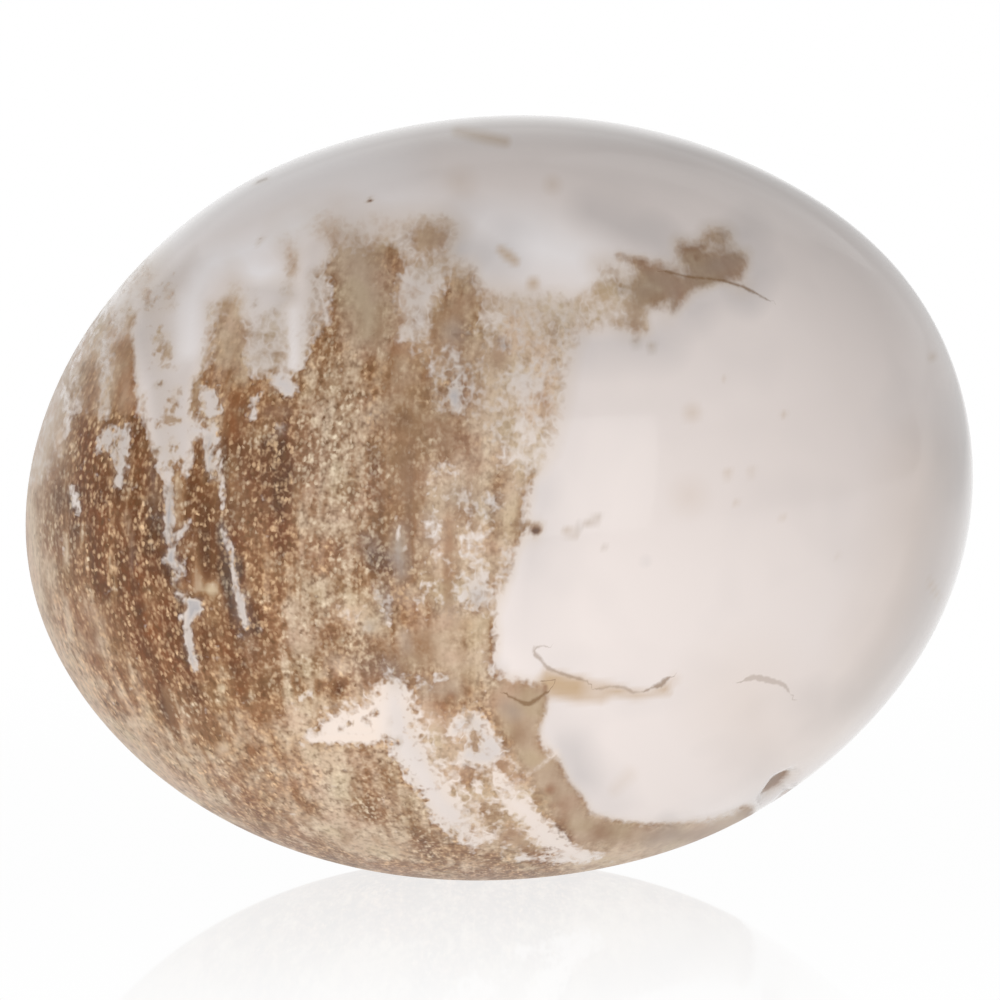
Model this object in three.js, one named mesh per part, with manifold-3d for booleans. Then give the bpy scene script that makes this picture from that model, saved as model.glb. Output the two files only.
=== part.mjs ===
// A tumbled pebble of petrified wood: one solid piece of stone.
//
// Its body is an ellipsoid whose long axis leans up to the right. Low swells and worn hollows stand
// a few tenths of a millimetre proud of that body or below it, as tumbling leaves them, and a small
// flat is worn on the underside, where the pebble stands.
//
// Millimetres, +Z up. X runs along the pebble, and Y from its show side to its back.
// The origin is under the middle of the pebble, on the surface that it stands on.

import * as THREE from "three";
import { mergeVertices } from "three/addons/utils/BufferGeometryUtils.js";
import Module from "manifold-3d";

// Driving dimensions of the body, across its three axes.
const LENGTH = 31.9;
const DEPTH = 27.6;
const HEIGHT = 25.7;
const LEAN_DEG = 6.7; // how far the long axis rises to the right

// How much of the underside is worn away to a flat.
const FOOT_WEAR = 0.16;

// Facets of the solid, round the pebble and from its foot to its top.
const FACETS_AROUND = 80;
const FACETS_UP = 40;

// Low relief. Each entry faces a direction, rises by height (or sinks, where that is negative) in
// millimetres, and fades over spread, in degrees. turn is measured round the show side, from its
// right-hand end over the top, and back is how far the direction turns away to the back.
const RELIEF = [
  { name: "upper right shoulder", turn: 29, back: 0, height: 0.16, spread: 12 },
  { name: "upper left shoulder", turn: 130, back: 0, height: 0.15, spread: 13 },
  { name: "left end", turn: 190, back: 0, height: 0.13, spread: 11 },
  { name: "lower right shoulder", turn: 302, back: 0, height: 0.13, spread: 13 },
  { name: "fullness of the show side", turn: 200, back: -60, height: 0.3, spread: 26 },
  { name: "worn face of the show side", turn: 15, back: -58, height: -0.35, spread: 24 },
  { name: "worn face of the back", turn: 40, back: 62, height: -0.9, spread: 27 },
  { name: "fullness of the back", turn: 215, back: 48, height: 0.4, spread: 24 },
  { name: "hollow of the back", turn: 150, back: 50, height: -0.45, spread: 20 },
];

const MATERIAL = new THREE.MeshStandardMaterial({
  color: 0xc8b3a0,
  roughness: 0.25,
  metalness: 0,
});

const lean = THREE.MathUtils.degToRad(LEAN_DEG);
const longAxis = new THREE.Vector3(Math.cos(lean), 0, Math.sin(lean));
const deepAxis = new THREE.Vector3(0, 1, 0);
const shortAxis = new THREE.Vector3(-Math.sin(lean), 0, Math.cos(lean));

// The unit direction that a relief entry faces.
function facing({ turn, back }) {
  const t = THREE.MathUtils.degToRad(turn);
  const b = THREE.MathUtils.degToRad(back);
  return new THREE.Vector3(Math.cos(t) * Math.cos(b), Math.sin(b), Math.sin(t) * Math.cos(b));
}

const relief = RELIEF.map((entry) => ({
  direction: facing(entry),
  height: entry.height,
  spread: THREE.MathUtils.degToRad(entry.spread),
}));

// How far the skin lies from the pebble's middle along a unit direction: the ellipsoid's radius
// there, plus a bell-shaped rise or dip for each entry of the relief.
function reach(direction) {
  const body = Math.hypot(
    direction.dot(longAxis) / (LENGTH / 2),
    direction.dot(deepAxis) / (DEPTH / 2),
    direction.dot(shortAxis) / (HEIGHT / 2),
  );
  return relief.reduce((sum, entry) => {
    const off = direction.angleTo(entry.direction) / entry.spread;
    return sum + entry.height * Math.exp(-(off * off) / 2);
  }, 1 / body);
}

// The whole skin, before its foot is worn: a unit sphere with its poles at top and bottom, each of
// its vertices moved out to the reach in that direction.
function wholeSkin() {
  const sphere = new THREE.SphereGeometry(1, FACETS_AROUND, FACETS_UP).rotateX(Math.PI / 2);
  const places = sphere.getAttribute("position");
  const vertex = new THREE.Vector3();
  for (let i = 0; i < places.count; i++) {
    vertex.fromBufferAttribute(places, i).normalize();
    vertex.multiplyScalar(reach(vertex));
    places.setXYZ(i, vertex.x, vertex.y, vertex.z);
  }
  return sphere;
}

// Moves a geometry so that the origin is under the middle of its box, at its lowest point.
function standOnOrigin(geometry) {
  geometry.computeBoundingBox();
  const box = geometry.boundingBox;
  const middle = box.getCenter(new THREE.Vector3());
  return geometry.translate(-middle.x, -middle.y, -box.min.z);
}

const wasm = await Module();
wasm.setup();

// A closed three.js geometry as a manifold-3d solid.
function solidOf(geometry) {
  const bare = new THREE.BufferGeometry();
  bare.setAttribute("position", geometry.getAttribute("position"));
  bare.setIndex(geometry.getIndex());
  const merged = mergeVertices(bare);
  return new wasm.Manifold(
    new wasm.Mesh({
      numProp: 3,
      vertProperties: merged.getAttribute("position").array,
      triVerts: new Uint32Array(merged.getIndex().array),
    }),
  );
}

// A manifold-3d solid as a flat-shaded three.js geometry.
function geometryOf(solid) {
  const { vertProperties, triVerts } = solid.getMesh();
  const indexed = new THREE.BufferGeometry();
  indexed.setAttribute("position", new THREE.BufferAttribute(vertProperties, 3));
  indexed.setIndex(new THREE.BufferAttribute(triVerts, 1));
  const flat = indexed.toNonIndexed();
  flat.computeVertexNormals();
  return flat;
}

// The pebble with its foot worn flat: everything lower than the wear is cut away.
function wornPebble() {
  const skin = standOnOrigin(wholeSkin());
  const below = new THREE.BoxGeometry(LENGTH, DEPTH, LENGTH);
  below.translate(0, 0, FOOT_WEAR - LENGTH / 2);
  const worn = geometryOf(solidOf(skin).subtract(solidOf(below)));
  return standOnOrigin(worn);
}

const pebble = new THREE.Mesh(wornPebble(), MATERIAL);
pebble.name = "petrified_wood";

const part = new THREE.Group();
part.name = "tumbled petrified wood";
part.add(pebble);

export default part;
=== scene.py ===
import math

import bpy
import numpy as np
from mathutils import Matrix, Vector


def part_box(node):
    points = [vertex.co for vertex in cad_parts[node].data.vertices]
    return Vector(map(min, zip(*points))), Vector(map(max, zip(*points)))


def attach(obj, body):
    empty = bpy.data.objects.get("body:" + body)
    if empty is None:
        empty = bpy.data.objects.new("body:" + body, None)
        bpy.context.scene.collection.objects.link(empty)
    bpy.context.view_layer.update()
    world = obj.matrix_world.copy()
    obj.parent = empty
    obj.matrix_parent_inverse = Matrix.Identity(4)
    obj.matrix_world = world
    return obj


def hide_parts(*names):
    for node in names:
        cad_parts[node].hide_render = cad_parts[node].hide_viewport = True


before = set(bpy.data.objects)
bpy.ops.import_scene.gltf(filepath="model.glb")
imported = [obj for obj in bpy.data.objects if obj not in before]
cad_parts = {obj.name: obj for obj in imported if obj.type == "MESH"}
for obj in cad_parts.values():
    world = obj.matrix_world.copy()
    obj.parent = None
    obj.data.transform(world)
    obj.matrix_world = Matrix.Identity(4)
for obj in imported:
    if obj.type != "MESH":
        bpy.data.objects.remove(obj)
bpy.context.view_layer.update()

mm = 0.001
pebbleLow, pebbleHigh = (np.array(corner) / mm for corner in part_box("petrified_wood"))
pebbleMiddle = (pebbleLow + pebbleHigh) / 2

# The body is an ellipsoid with low swells and worn hollows. Millimetres and degrees.
# Each swell faces a direction: turn goes round the show side from its right-hand end over the top,
# and back leans away to the back. It rises by height and fades over spread.
pebble = {
    "length": 31.9, "depth": 27.6, "height": 25.7, "lean": 6.7,
    "footBlend": 0.05,
    "columns": 456, "rows": 213,
    "frontShare": 0.38,  # how much closer the columns stand on the show side
    "swells": [
        {"turn": 29, "back": 0, "height": 0.16, "spread": 12},
        {"turn": 130, "back": 0, "height": 0.15, "spread": 13},
        {"turn": 190, "back": 0, "height": 0.13, "spread": 11},
        {"turn": 302, "back": 0, "height": 0.13, "spread": 13},
        {"turn": 200, "back": -60, "height": 0.3, "spread": 26},
        {"turn": 15, "back": -58, "height": -0.35, "spread": 24},
        {"turn": 40, "back": 62, "height": -0.9, "spread": 27},
        {"turn": 215, "back": 48, "height": 0.4, "spread": 24},
        {"turn": 150, "back": 50, "height": -0.45, "spread": 20},
    ],
    "pit": [(9.0, -10.15, 0.12), (9.5, -9.75, 0.3), (9.85, -9.4, 0.12)], "pitSink": 0.28, "pitFade": 0.35,
}


# The unit direction of an angle round the show side and an angle away to the back.
def facing(turn, back):
    t, b = math.radians(turn), math.radians(back)
    return np.array([math.cos(t) * math.cos(b), math.sin(b), math.sin(t) * math.cos(b)])


# How far the skin lies from the middle along each unit direction: the ellipsoid's radius there, plus
# height * exp(-(angle / spread)^2 / 2) for each swell.
def reach(directions):
    lean = math.radians(pebble["lean"])
    axes = np.array([[math.cos(lean), 0, math.sin(lean)], [0, 1, 0], [-math.sin(lean), 0, math.cos(lean)]])
    halves = np.array([pebble["length"], pebble["depth"], pebble["height"]]) / 2
    out = 1 / np.linalg.norm(directions @ axes.T / halves, axis=-1)
    for swell in pebble["swells"]:
        angle = np.arccos(np.clip(directions @ facing(swell["turn"], swell["back"]), -1, 1))
        out = out + swell["height"] * np.exp(-(np.degrees(angle) / swell["spread"]) ** 2 / 2)
    return out


# Directions on a grid of columns round the upright axis and rows from foot to top, with a single one
# at each pole. Column angle = t - share * sin(t), so that the columns crowd where t is 0, at the front.
def directionGrid():
    t = np.linspace(0, 2 * np.pi, pebble["columns"], endpoint=False)
    around = t - pebble["frontShare"] * np.sin(t) - np.pi / 2
    rise = np.linspace(0, np.pi, pebble["rows"] + 2)[1:-1]
    around, rise = np.meshgrid(around, rise)
    grid = np.stack([np.sin(rise) * np.cos(around), np.sin(rise) * np.sin(around), -np.cos(rise)], -1)
    return np.vstack([grid.reshape(-1, 3), [[0, 0, -1], [0, 0, 1]]])


# Quads between neighbouring rows and columns, the last column joined to the first, and a fan of
# triangles at each pole.
def gridFaces():
    rows, columns = pebble["rows"], pebble["columns"]
    here = np.arange(rows * columns).reshape(rows, columns)
    onward = np.roll(here, -1, axis=1)
    quads = np.stack([here[:-1], onward[:-1], onward[1:], here[1:]], -1).reshape(-1, 4)
    foot, top = rows * columns, rows * columns + 1
    low = np.stack([onward[0], here[0], np.full(columns, foot)], -1)
    high = np.stack([here[-1], onward[-1], np.full(columns, top)], -1)
    return quads, np.vstack([low, high])


# The show face is laid out as it is seen from in front and a little above: across and up from the
# middle of the pebble, in millimetres, and spread by away / (away + how far in the point lies).
layout = {"above": 8.0, "away": 400.0}


def faceLayout(points):
    e = math.radians(layout["above"])
    p = points - pebbleMiddle
    inward = p @ np.array([0, math.cos(e), -math.sin(e)])
    upward = p @ np.array([0, math.sin(e), math.cos(e)])
    spread = layout["away"] / (layout["away"] + inward)
    return p[:, 0] * spread, upward * spread, inward


# Distance to a tapering stroke: to the nearest place on its line, less its half width there. A
# stroke's places are (across, up, half width), and the distance is negative inside it.
def strokeGap(across, up, places):
    gap = np.full(across.shape, np.inf)
    for (ax, ay, ar), (bx, by, br) in zip(places, places[1:] or places):
        dx, dy = bx - ax, by - ay
        share = np.clip(((across - ax) * dx + (up - ay) * dy) / max(dx * dx + dy * dy, 1e-9), 0, 1)
        off = np.hypot(across - ax - share * dx, up - ay - share * dy) - ar - share * (br - ar)
        gap = np.minimum(gap, off)
    return gap


# Distance to a closed outline of (across, up), negative inside. A point is inside where a line drawn
# from it to the right crosses the outline an odd number of times.
def areaGap(across, up, outline):
    gap = strokeGap(across, up, [(x, y, 0) for x, y in outline + outline[:1]])
    inside = np.zeros(across.shape, bool)
    for (ax, ay), (bx, by) in zip(outline, outline[1:] + outline[:1]):
        meets = ax + (up - ay) * (bx - ax) / ((by - ay) or 1e-9)
        inside ^= ((ay > up) != (by > up)) & (across < meets)
    return np.where(inside, -gap, gap)


# Distance to the nearest of several round spots.
def spotsGap(across, up, places):
    return np.min([strokeGap(across, up, (place,)) for place in places], axis=0)


# The three kinds of mark: how the distance to it is measured, its places, the millimetres over which
# its edge fades, and its levels. A stroke and spots take (across, up, half width), an area (across, up).
def stroke(fade, *places, **levels):
    return strokeGap, places, fade, levels


def area(fade, *corners, **levels):
    return areaGap, corners, fade, levels


def spots(fade, *places, **levels):
    return spotsGap, places, fade, levels


# What a mark may change, and how it starts out. wood: 1 in the fossil wood, -1 in the agate, and near
# 0 where the two are laced together. ragged: how far the lacing breaks that edge up. dark, rust and
# grit: the wood's depth of brown, its redness and its sparkle of grains. stain, cool, blush and milk:
# tints of the agate; cool greys the wood too. Stain and cool also lay painted shade along the right
# rim, and milk a painted sheen along the upper-left rim.
fields = {"wood": -1.0, "ragged": 0.2, "dark": 0.3, "rust": 0.15, "grit": 0.4,
          "stain": 0.0, "cool": 0.0, "blush": 0.0, "milk": 0.0}

showSide = [
    # the body of the wood
    area(0.35, (-17, 4), (-14.3, 4.1), (-14.2, 2.9), (-13.2, 2.7), (-12.9, 5), (-12.4, 5), (-12.3, 3.6),
        (-12, 2.9), (-11.6, 1.5), (-11.2, 1), (-10.6, 1), (-10.4, 2), (-10.3, 3.9), (-9.7, 4.6), (-9.4, 5.4),
        (-9.3, 5.9), (-8.5, 5.9), (-8.55, 4.8), (-8.2, 4.1), (-7.2, 4.1), (-6.75, 4.4), (-6.5, 5.2),
        (-5.8, 5.9), (-5.9, 7), (-5.9, 7.9), (-5.4, 8.4), (-4.8, 8.6), (-3.6, 8.4), (-3.1, 7.7), (-3.4, 6.4),
        (-3.3, 5.3), (-2.5, 5.2), (-2.2, 6.2), (-1.9, 7.4), (-0.9, 7.5), (-0.7, 5.2), (-0.2, 4.6), (-0.3, 3),
        (-0.5, 1.8), (0.3, 1.1), (1.1, 0.9), (1, -0.1), (0.7, -1.4), (0.2, -2.8), (-0.4, -3.6), (-0.1, -4.6),
        (-0.2, -5.8), (0.4, -6.2), (1.5, -6.4), (1.45, -7.2), (1.15, -8), (1.9, -8.9), (2.2, -9.7),
        (2.8, -10.4), (3.1, -10.9), (4.6, -11.15), (6.2, -11.1), (7.4, -10.85), (8.2, -10.6), (9.5, -12.5),
        (0, -15), (-17, -15), wood=1, ragged=0.8, dark=0.45, rust=0.3, grit=0.9),
    # tone of the wood, from its left end to the right, with painted sheen along the bottom
    stroke(0.6, (-15, 1, 0.5), (-15.5, -0.5, 0.7), (-15.3, -2.5, 0.6), (-14.9, -4, 0.3), dark=0.32, rust=0.1,
        grit=0.5),
    stroke(0.7, (-14.4, -3.8, 0.4), (-13.9, -5.2, 0.8), (-13, -6.6, 0.9), (-11.6, -8.6, 0.9), dark=0.27,
        rust=0.5, grit=0.9),
    stroke(0.4, (-13.6, -4.2, 0.3), (-13.5, -4.9, 0.3), dark=0.15, rust=0.1, grit=0.3, cool=0.2),
    stroke(0.5, (-13.9, 2.4, 0.3), (-13.8, 1.2, 0.4), (-13.5, 0.2, 0.5), (-13.4, -1.2, 0.6),
        (-13.3, -2.8, 0.5), dark=1, rust=0.75, grit=1.05),
    stroke(0.3, (-12.2, 2.4, 0.15), (-12.2, 1, 0.25), (-12.15, -0.2, 0.35), (-12, -1.6, 0.35), dark=1.15,
        rust=0.6, grit=0.85),
    stroke(0.2, (-11.65, 1, 0.18), (-11.6, 0, 0.2), (-11.6, -0.8, 0.15), dark=0.85, rust=0.2, grit=0.7,
        cool=0.3),
    stroke(0.35, (-10.2, 0.6, 0.2), (-10.2, -0.2, 0.3), (-9.9, -1.4, 0.4), (-9.6, -2.2, 0.3), dark=0.95,
        rust=0.4, grit=0.9),
    stroke(0.25, (-10.2, 1.6, 0.15), (-10.2, 0.8, 0.25), dark=0.6, rust=0.6, grit=0.9),
    stroke(0.6, (-12.4, -2.4, 0.5), (-12, -3.4, 0.6), (-11.5, -4.6, 0.6), (-11.2, -5.8, 0.5), dark=1.15,
        rust=1, grit=0.95),
    stroke(0.2, (-11.9, -3.4, 0.12), (-11.85, -3.9, 0.12), dark=0.7, rust=1.2, grit=0.2),
    stroke(0.12, (-12.4, -2.4, 0.04), (-12.3, -2.9, 0.05), dark=1.3, rust=0.5, grit=0.5),
    stroke(0.14, (-12.25, -3.1, 0.05), (-12.1, -3.9, 0.08), (-12.05, -4.8, 0.1), (-11.9, -5.1, 0.1),
        (-11.7, -5.7, 0.1), (-11.3, -6.9, 0.1), (-10.9, -8, 0.05), dark=1.35, rust=0.6, grit=0.5),
    stroke(0.15, (-10.4, -6, 0.05), (-10.1, -6.9, 0.08), (-9.9, -7.6, 0.08), (-9.5, -8.6, 0.05), dark=1.2,
        grit=0.6),
    stroke(0.12, (-11.3, -6.5, 0.12), (-11.15, -7.1, 0.18), (-11, -7.8, 0.08), dark=0.5, rust=0, grit=0),
    stroke(0.3, (-8.9, 3.3, 0.2), (-8.85, 2.1, 0.25), dark=0.6, rust=1, grit=0.3),
    stroke(0.15, (-8.75, 2.8, 0.08), (-8.75, 2.3, 0.08), dark=0.6, rust=0, grit=0.2),
    stroke(0.3, (-8.5, 1.8, 0.3), (-8.5, 0.8, 0.3), dark=0.5, rust=0.1, grit=1),
    stroke(0.35, (-7.5, 1.6, 0.35), (-7.4, 0.6, 0.5), (-7.3, -0.1, 0.5), (-7.3, -0.9, 0.45),
        (-7.2, -1.8, 0.3), dark=1.3, rust=0.55, grit=1),
    stroke(0.4, (-8.1, 1.2, 0.3), (-8.2, -0.6, 0.3), dark=0.85, rust=0.5, grit=1),
    stroke(0.6, (-8.5, -1.2, 0.3), (-8.2, -2.4, 0.4), (-7.7, -3.6, 0.4), dark=0.55, rust=0.5, grit=1.1),
    stroke(0.5, (-9.2, -5.2, 0.3), (-8.8, -5.9, 0.4), (-8.5, -6.6, 0.4), (-8, -7.2, 0.4), dark=0.8, rust=0.9,
        grit=0.7),
    stroke(0.5, (-7.7, -5.6, 0.3), (-7.7, -6.6, 0.4), dark=0.7, rust=0.2, grit=0.9),
    stroke(0.5, (-5.5, 3.6, 0.9), (-5.6, 2, 1.1), (-5.6, 0, 1.1), (-5.7, -2, 1), (-6.2, -4, 0.8),
        (-6.6, -5.6, 0.6), dark=0.24, rust=0, grit=1, cool=0.1),
    stroke(0.5, (-5.8, 2.6, 0.3), (-5.7, 1, 0.3), dark=0.25, rust=0, grit=1.1, cool=0.25),
    stroke(0.25, (-6.45, 2.9, 0.1), (-6.5, 0.4, 0.12), dark=0.65, rust=0.2, grit=1),
    stroke(0.3, (-6.4, -0.6, 0.15), (-6.4, -2.2, 0.15), dark=0.3, rust=0.1),
    stroke(0.3, (-5.2, -3.5, 0.2), (-5.2, -4.2, 0.2), dark=0.15, rust=0.1),
    stroke(0.4, (-5.8, -1.7, 0.2), (-5.9, -2.4, 0.2), dark=0.4, rust=0.5, grit=0.9),
    stroke(0.3, (-6.9, -3.7, 0.15), (-6.9, -4.9, 0.15), dark=0, rust=0, grit=0.6, cool=0.2),
    stroke(0.3, (-6.7, -5, 0.15), (-6.3, -5.1, 0.15), dark=0.1, rust=0.1, grit=0.15),
    stroke(0.2, (-7.15, -5.5, 0.08), (-7.1, -6.9, 0.12), dark=-0.1, rust=0, grit=0.9),
    area(0.35, (-7.3, -6.6), (-6.2, -6.9), (-5.3, -7), (-6.2, -7.7), (-7.1, -7.9), wood=0.7, dark=-0.1,
        rust=0.1, grit=0.7),
    stroke(0.4, (-4.6, -3.6, 0.2), (-4, -4.6, 0.2), dark=0.2, rust=0.1, grit=0.6),
    stroke(0.5, (-5, -5.2, 0.4), (-4.5, -6.1, 0.4), dark=0.5, rust=0.1, grit=0.6, cool=0.25),
    stroke(0.15, (-5.3, -6.3, 0.1), (-5.4, -6.6, 0.1), dark=1.2, rust=0.2, grit=0.4),
    stroke(0.2, (-5.5, -4.6, 0.12), (-5.9, -4.7, 0.1), dark=0.9, rust=0.4, grit=0.6),
    stroke(0.2, (-6.1, -6.4, 0.12), dark=0.8, rust=0, grit=0.5),
    stroke(0.8, (-9.6, -8.6, 1), (-7.6, -9.2, 1.4), (-5.6, -9.6, 1.4), (-4.2, -10.6, 0.8),
        (-2.4, -11.6, 0.5), dark=-0.04, rust=0.15, grit=0.85),
    stroke(0.5, (-9.9, -7.9, 0.3), (-8.6, -8.9, 0.4), (-7.2, -9.6, 0.4), dark=0.3, rust=0.4, grit=0.95),
    stroke(0.4, (-12.3, -7.6, 0.3), (-11.6, -8.6, 0.3), (-9.4, -10.3, 0.3), dark=0.05, rust=0.2, grit=0.7),
    stroke(0.3, (-3, -9.9, 0.15), (-2.6, -10.6, 0.15), dark=0.1, rust=0.1),
    stroke(0.7, (-10.4, -9.3, 0.5), (-8.6, -10.4, 0.5), dark=0.35, rust=0.4, grit=0.9),
    stroke(0.3, (-5.4, -9.9, 0.3), (-5.9, -9.9, 0.2), dark=-0.1, rust=0, grit=0.8, cool=0.2),
    stroke(0.4, (-7.4, -9, 0.3), (-6.8, -9.2, 0.3), dark=0, rust=0.1, grit=0.9),
    stroke(0.5, (-4.6, -8.7, 0.2), (-4.6, -9.4, 0.4), (-4.4, -10.4, 0.3), dark=0.55, grit=0.9),
    stroke(0.5, (-3.4, -11, 0.4), (-2.3, -11.8, 0.4), dark=0.5, grit=0.9),
    # the next two strokes are painted sheen: pale lines along the bottom, standing in for the floor's
    # reflection
    stroke(0.4, (-6.2, -11.1, 0.2), (-4.6, -11.2, 0.25), (-3.6, -11.6, 0.2), dark=0, rust=0.1, grit=0.5),
    stroke(0.3, (-5, -11.7, 0.1), (-3.2, -11.9, 0.1), dark=0, grit=0.4),
    stroke(0.25, (-4.2, 1.5, 0.1), (-4.05, 0, 0.2), (-4.1, -1, 0.22), (-4.1, -2.8, 0.15), dark=1, rust=0,
        grit=0.8),
    stroke(0.25, (-4.4, -1.4, 0.15), (-4.3, -2.2, 0.15), dark=0.95, rust=0, grit=0.9, cool=0.3),
    stroke(0.6, (-5, -3.2, 0.4), (-4.6, -5, 0.4), dark=0.3, rust=0.1, grit=0.9),
    stroke(0.6, (-3.2, -5.6, 0.6), (-2.2, -5, 0.8), (-1.2, -5.8, 0.6), dark=0.12, rust=0.05, grit=0.2,
        cool=0.12),
    stroke(0.3, (-1.6, -4.2, 0.3), (-0.9, -4.3, 0.3), dark=0.25, rust=0.35, grit=0.15),
    stroke(0.3, (-0.6, -4.4, 0.2), (-0.6, -5.4, 0.2), wood=0.6, dark=0, rust=0.1, grit=0.3),
    stroke(0.2, (-3.2, -4.7, 0.15), (-3.1, -5.1, 0.15), dark=0.1, rust=0, grit=0.1, cool=0.6),
    stroke(0.35, (-2.4, -6.5, 0.25), (-1.6, -6.5, 0.25), dark=0.05, rust=0.05, grit=0.05, cool=0.5),
    stroke(0.2, (-1.6, -6.75, 0.08), dark=0.5, rust=1.3, grit=0.1),
    stroke(0.2, (-2.3, -6.95, 0.05), (-1.9, -7.05, 0.1), (-1.5, -7.3, 0.05), dark=0.5, rust=1.3, grit=0.1),
    # smooth wood, where the grains don't show
    stroke(0.7, (-4.9, 8.5, 0.7), (-4.7, 7.6, 0.9), (-4.5, 6.6, 0.9), (-4.4, 5.5, 0.6), dark=0.15, rust=0,
        grit=0.08, cool=0.42),
    stroke(0.5, (-3.4, 4.4, 0.4), (-3.2, 3.2, 0.6), (-2.9, 2.4, 0.8), (-2, 2, 0.8), (-1.4, 1.6, 0.4),
        dark=0.42, rust=0.1, grit=0.25, cool=0.12),
    stroke(0.5, (-3.4, 4.6, 0.3), (-3, 4, 0.3), dark=0.25, grit=0.3),
    stroke(0.3, (-2.6, 2.1, 0.1), (-2.3, 1.8, 0.1), dark=0.4, rust=0, grit=0.9),
    stroke(0.4, (-3.2, 1.2, 0.5), (-3.1, 0, 0.45), (-3, -0.8, 0.3), dark=0.62, rust=0.1, grit=0.15,
        cool=0.1),
    area(0.22, (-0.2, -6.4), (1.5, -6.45), (1.6, -6.8), (1.35, -7.8), (1.25, -8.3), (1.94, -8.9),
        (2.27, -9.57), (2.8, -10.2), (2.95, -10.7), (3.9, -11), (5.2, -11.2), (6.3, -11.17), (7.4, -10.93),
        (8.4, -10.5), (8.4, -11.6), (2.6, -11.8), (1.9, -11.1), (1.3, -10), (0.75, -9.1), (0.3, -8.2),
        (-0.2, -7.3), wood=1, ragged=0.25, dark=0.17, rust=0.1, grit=0.06, cool=0.15),
    stroke(0.3, (3, -11.2, 0.2), (4.4, -11.5, 0.3), dark=0.3, rust=0.1, grit=0.05, cool=0.1),
    stroke(0.3, (5.2, -11.6, 0.3), (6.4, -11.4, 0.3), (7.6, -11, 0.2), (8.5, -10.6, 0.1), wood=1, ragged=0.2,
        dark=0.4, rust=0, grit=0.03, cool=0.6),
    stroke(0.3, (0.2, -6.25, 0.15), (0.9, -6.45, 0.2), (1.35, -6.6, 0.12), dark=0.2, rust=0.1, grit=0.05,
        cool=0.1),
    stroke(0.4, (0.8, -7.3, 0.2), (0.7, -8, 0.2), dark=0.08),
    stroke(0.25, (0.25, -7.1, 0.15), (0.5, -7.3, 0.2), dark=0.25, rust=0, grit=0, cool=0.8),
    stroke(0.15, (0.4, -8.5, 0.08), (0.45, -8.75, 0.08), dark=0.5, rust=0.9, grit=0.1),
    stroke(0.15, (1.7, -9.9, 0.1), dark=0.4, rust=0.9, grit=0.1),
    stroke(0.2, (2.2, -10.9, 0.1), dark=0.4, rust=0.9, grit=0.1),
    stroke(0.12, (1.6, -10.4, 0.1), dark=0, rust=0),
    stroke(0.35, (2.6, -12.3, 0.3), (4.4, -12.1, 0.25), (6.2, -11.8, 0.1), wood=0.5, ragged=0.5, dark=-0.2,
        rust=0.1, grit=0.1),
    # the streaks' tops, fading into the agate
    area(0.6, (-16, 4.2), (-13.4, 4.6), (-12.4, 7), (-11.4, 8.4), (-12.6, 8.6), (-15, 6.4), wood=0,
        ragged=0.35, dark=0, rust=0.1, grit=0.1, cool=0.1),
    area(0.3, (-17, 6), (-13.6, 6), (-13.9, 5.3), (-14.3, 4), (-14.45, 3), (-14.5, 2), (-14.7, 1.2),
        (-15.4, 0.4), (-17, 0), wood=0.4, ragged=0.3, dark=0.08, rust=0.1, grit=0.15, cool=0.3),
    stroke(0.15, (-14.6, 3.6, 0.06), (-14.55, 2, 0.06), wood=-0.4, ragged=0.5, cool=0.2),
    stroke(0.15, (-14.85, 2.1, 0.05), (-14.7, 1.2, 0.05), wood=0.1, dark=-0.2, cool=0),
    area(0.25, (-14.1, 5.8), (-12.9, 6.2), (-12.8, 5), (-12.95, 3), (-13.3, 2.7), (-14.2, 2.9), (-14.3, 4.2),
        wood=0.35, ragged=0.4, dark=0.05, rust=0.2, grit=0.3, cool=0.1),
    stroke(0.16, (-13.3, 5.3, 0.08), (-13.3, 4, 0.1), (-13.35, 2.9, 0.08), wood=-0.3, ragged=0.5, cool=0.3),
    stroke(0.3, (-13.8, 4.3, 0.2), (-13.75, 3.1, 0.25), wood=0.9, ragged=0.4, dark=0.4, rust=0.4, grit=0.6),
    stroke(0.2, (-12.35, 6, 0.12), (-12.55, 5.2, 0.18), (-12.6, 4.2, 0.26), (-12.6, 3.1, 0.26), wood=1,
        ragged=0.3, dark=0.3, rust=0.45, grit=0.12),
    stroke(0.3, (-12.5, 6.3, 0.12), (-12.5, 5.4, 0.15), wood=0.35, ragged=0.3, dark=0.05, rust=0.2),
    stroke(0.4, (-11.9, 7.7, 0.15), (-11.6, 7.1, 0.2), wood=0.2, ragged=0.3, dark=-0.1),
    area(0.2, (-12.3, 5.5), (-12.15, 4.9), (-12, 4.3), (-11.78, 3.7), (-11.68, 2.8), (-11.65, 1.9),
        (-11.5, 1.2), (-11.4, 0.9), (-11.3, 0.5), (-11.25, 0), (-11, 0), (-10.98, 0.9), (-10.9, 1.25),
        (-10.75, 1.1), (-10.6, 0.7), (-10.5, 0.75), (-10.42, 1.3), (-10.4, 2.5), (-10.5, 3), (-10.45, 3.6),
        (-10.25, 4.3), (-10.1, 5), (-10, 5.7), (-10, 6.4), (-9.7, 7), (-9.5, 7.6), (-10.2, 8.4),
        (-11.2, 7.6), (-11.9, 6.6), wood=-0.85, ragged=0.7, cool=0.3, stain=0.05),
    stroke(0.25, (-10.2, 7.4, 0.2), (-10.35, 6.2, 0.3), (-10.45, 4.9, 0.18), wood=-1, ragged=0.4, milk=0.4),
    stroke(0.35, (-11.2, 7.2, 0.2), (-11.5, 6, 0.3), (-11.4, 4.6, 0.28), wood=-0.35, ragged=1.2, dark=0.05,
        grit=0.1),
    stroke(0.3, (-11.3, 3.6, 0.22), (-11.2, 2.2, 0.22), (-11.1, 1.2, 0.18), wood=-0.4, ragged=1.2, dark=0.15,
        grit=0.2, cool=0.4),
    stroke(0.25, (-11.85, 6.8, 0.1), (-11.85, 6.3, 0.12), wood=0.3, ragged=0.4, dark=0.1),
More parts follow.
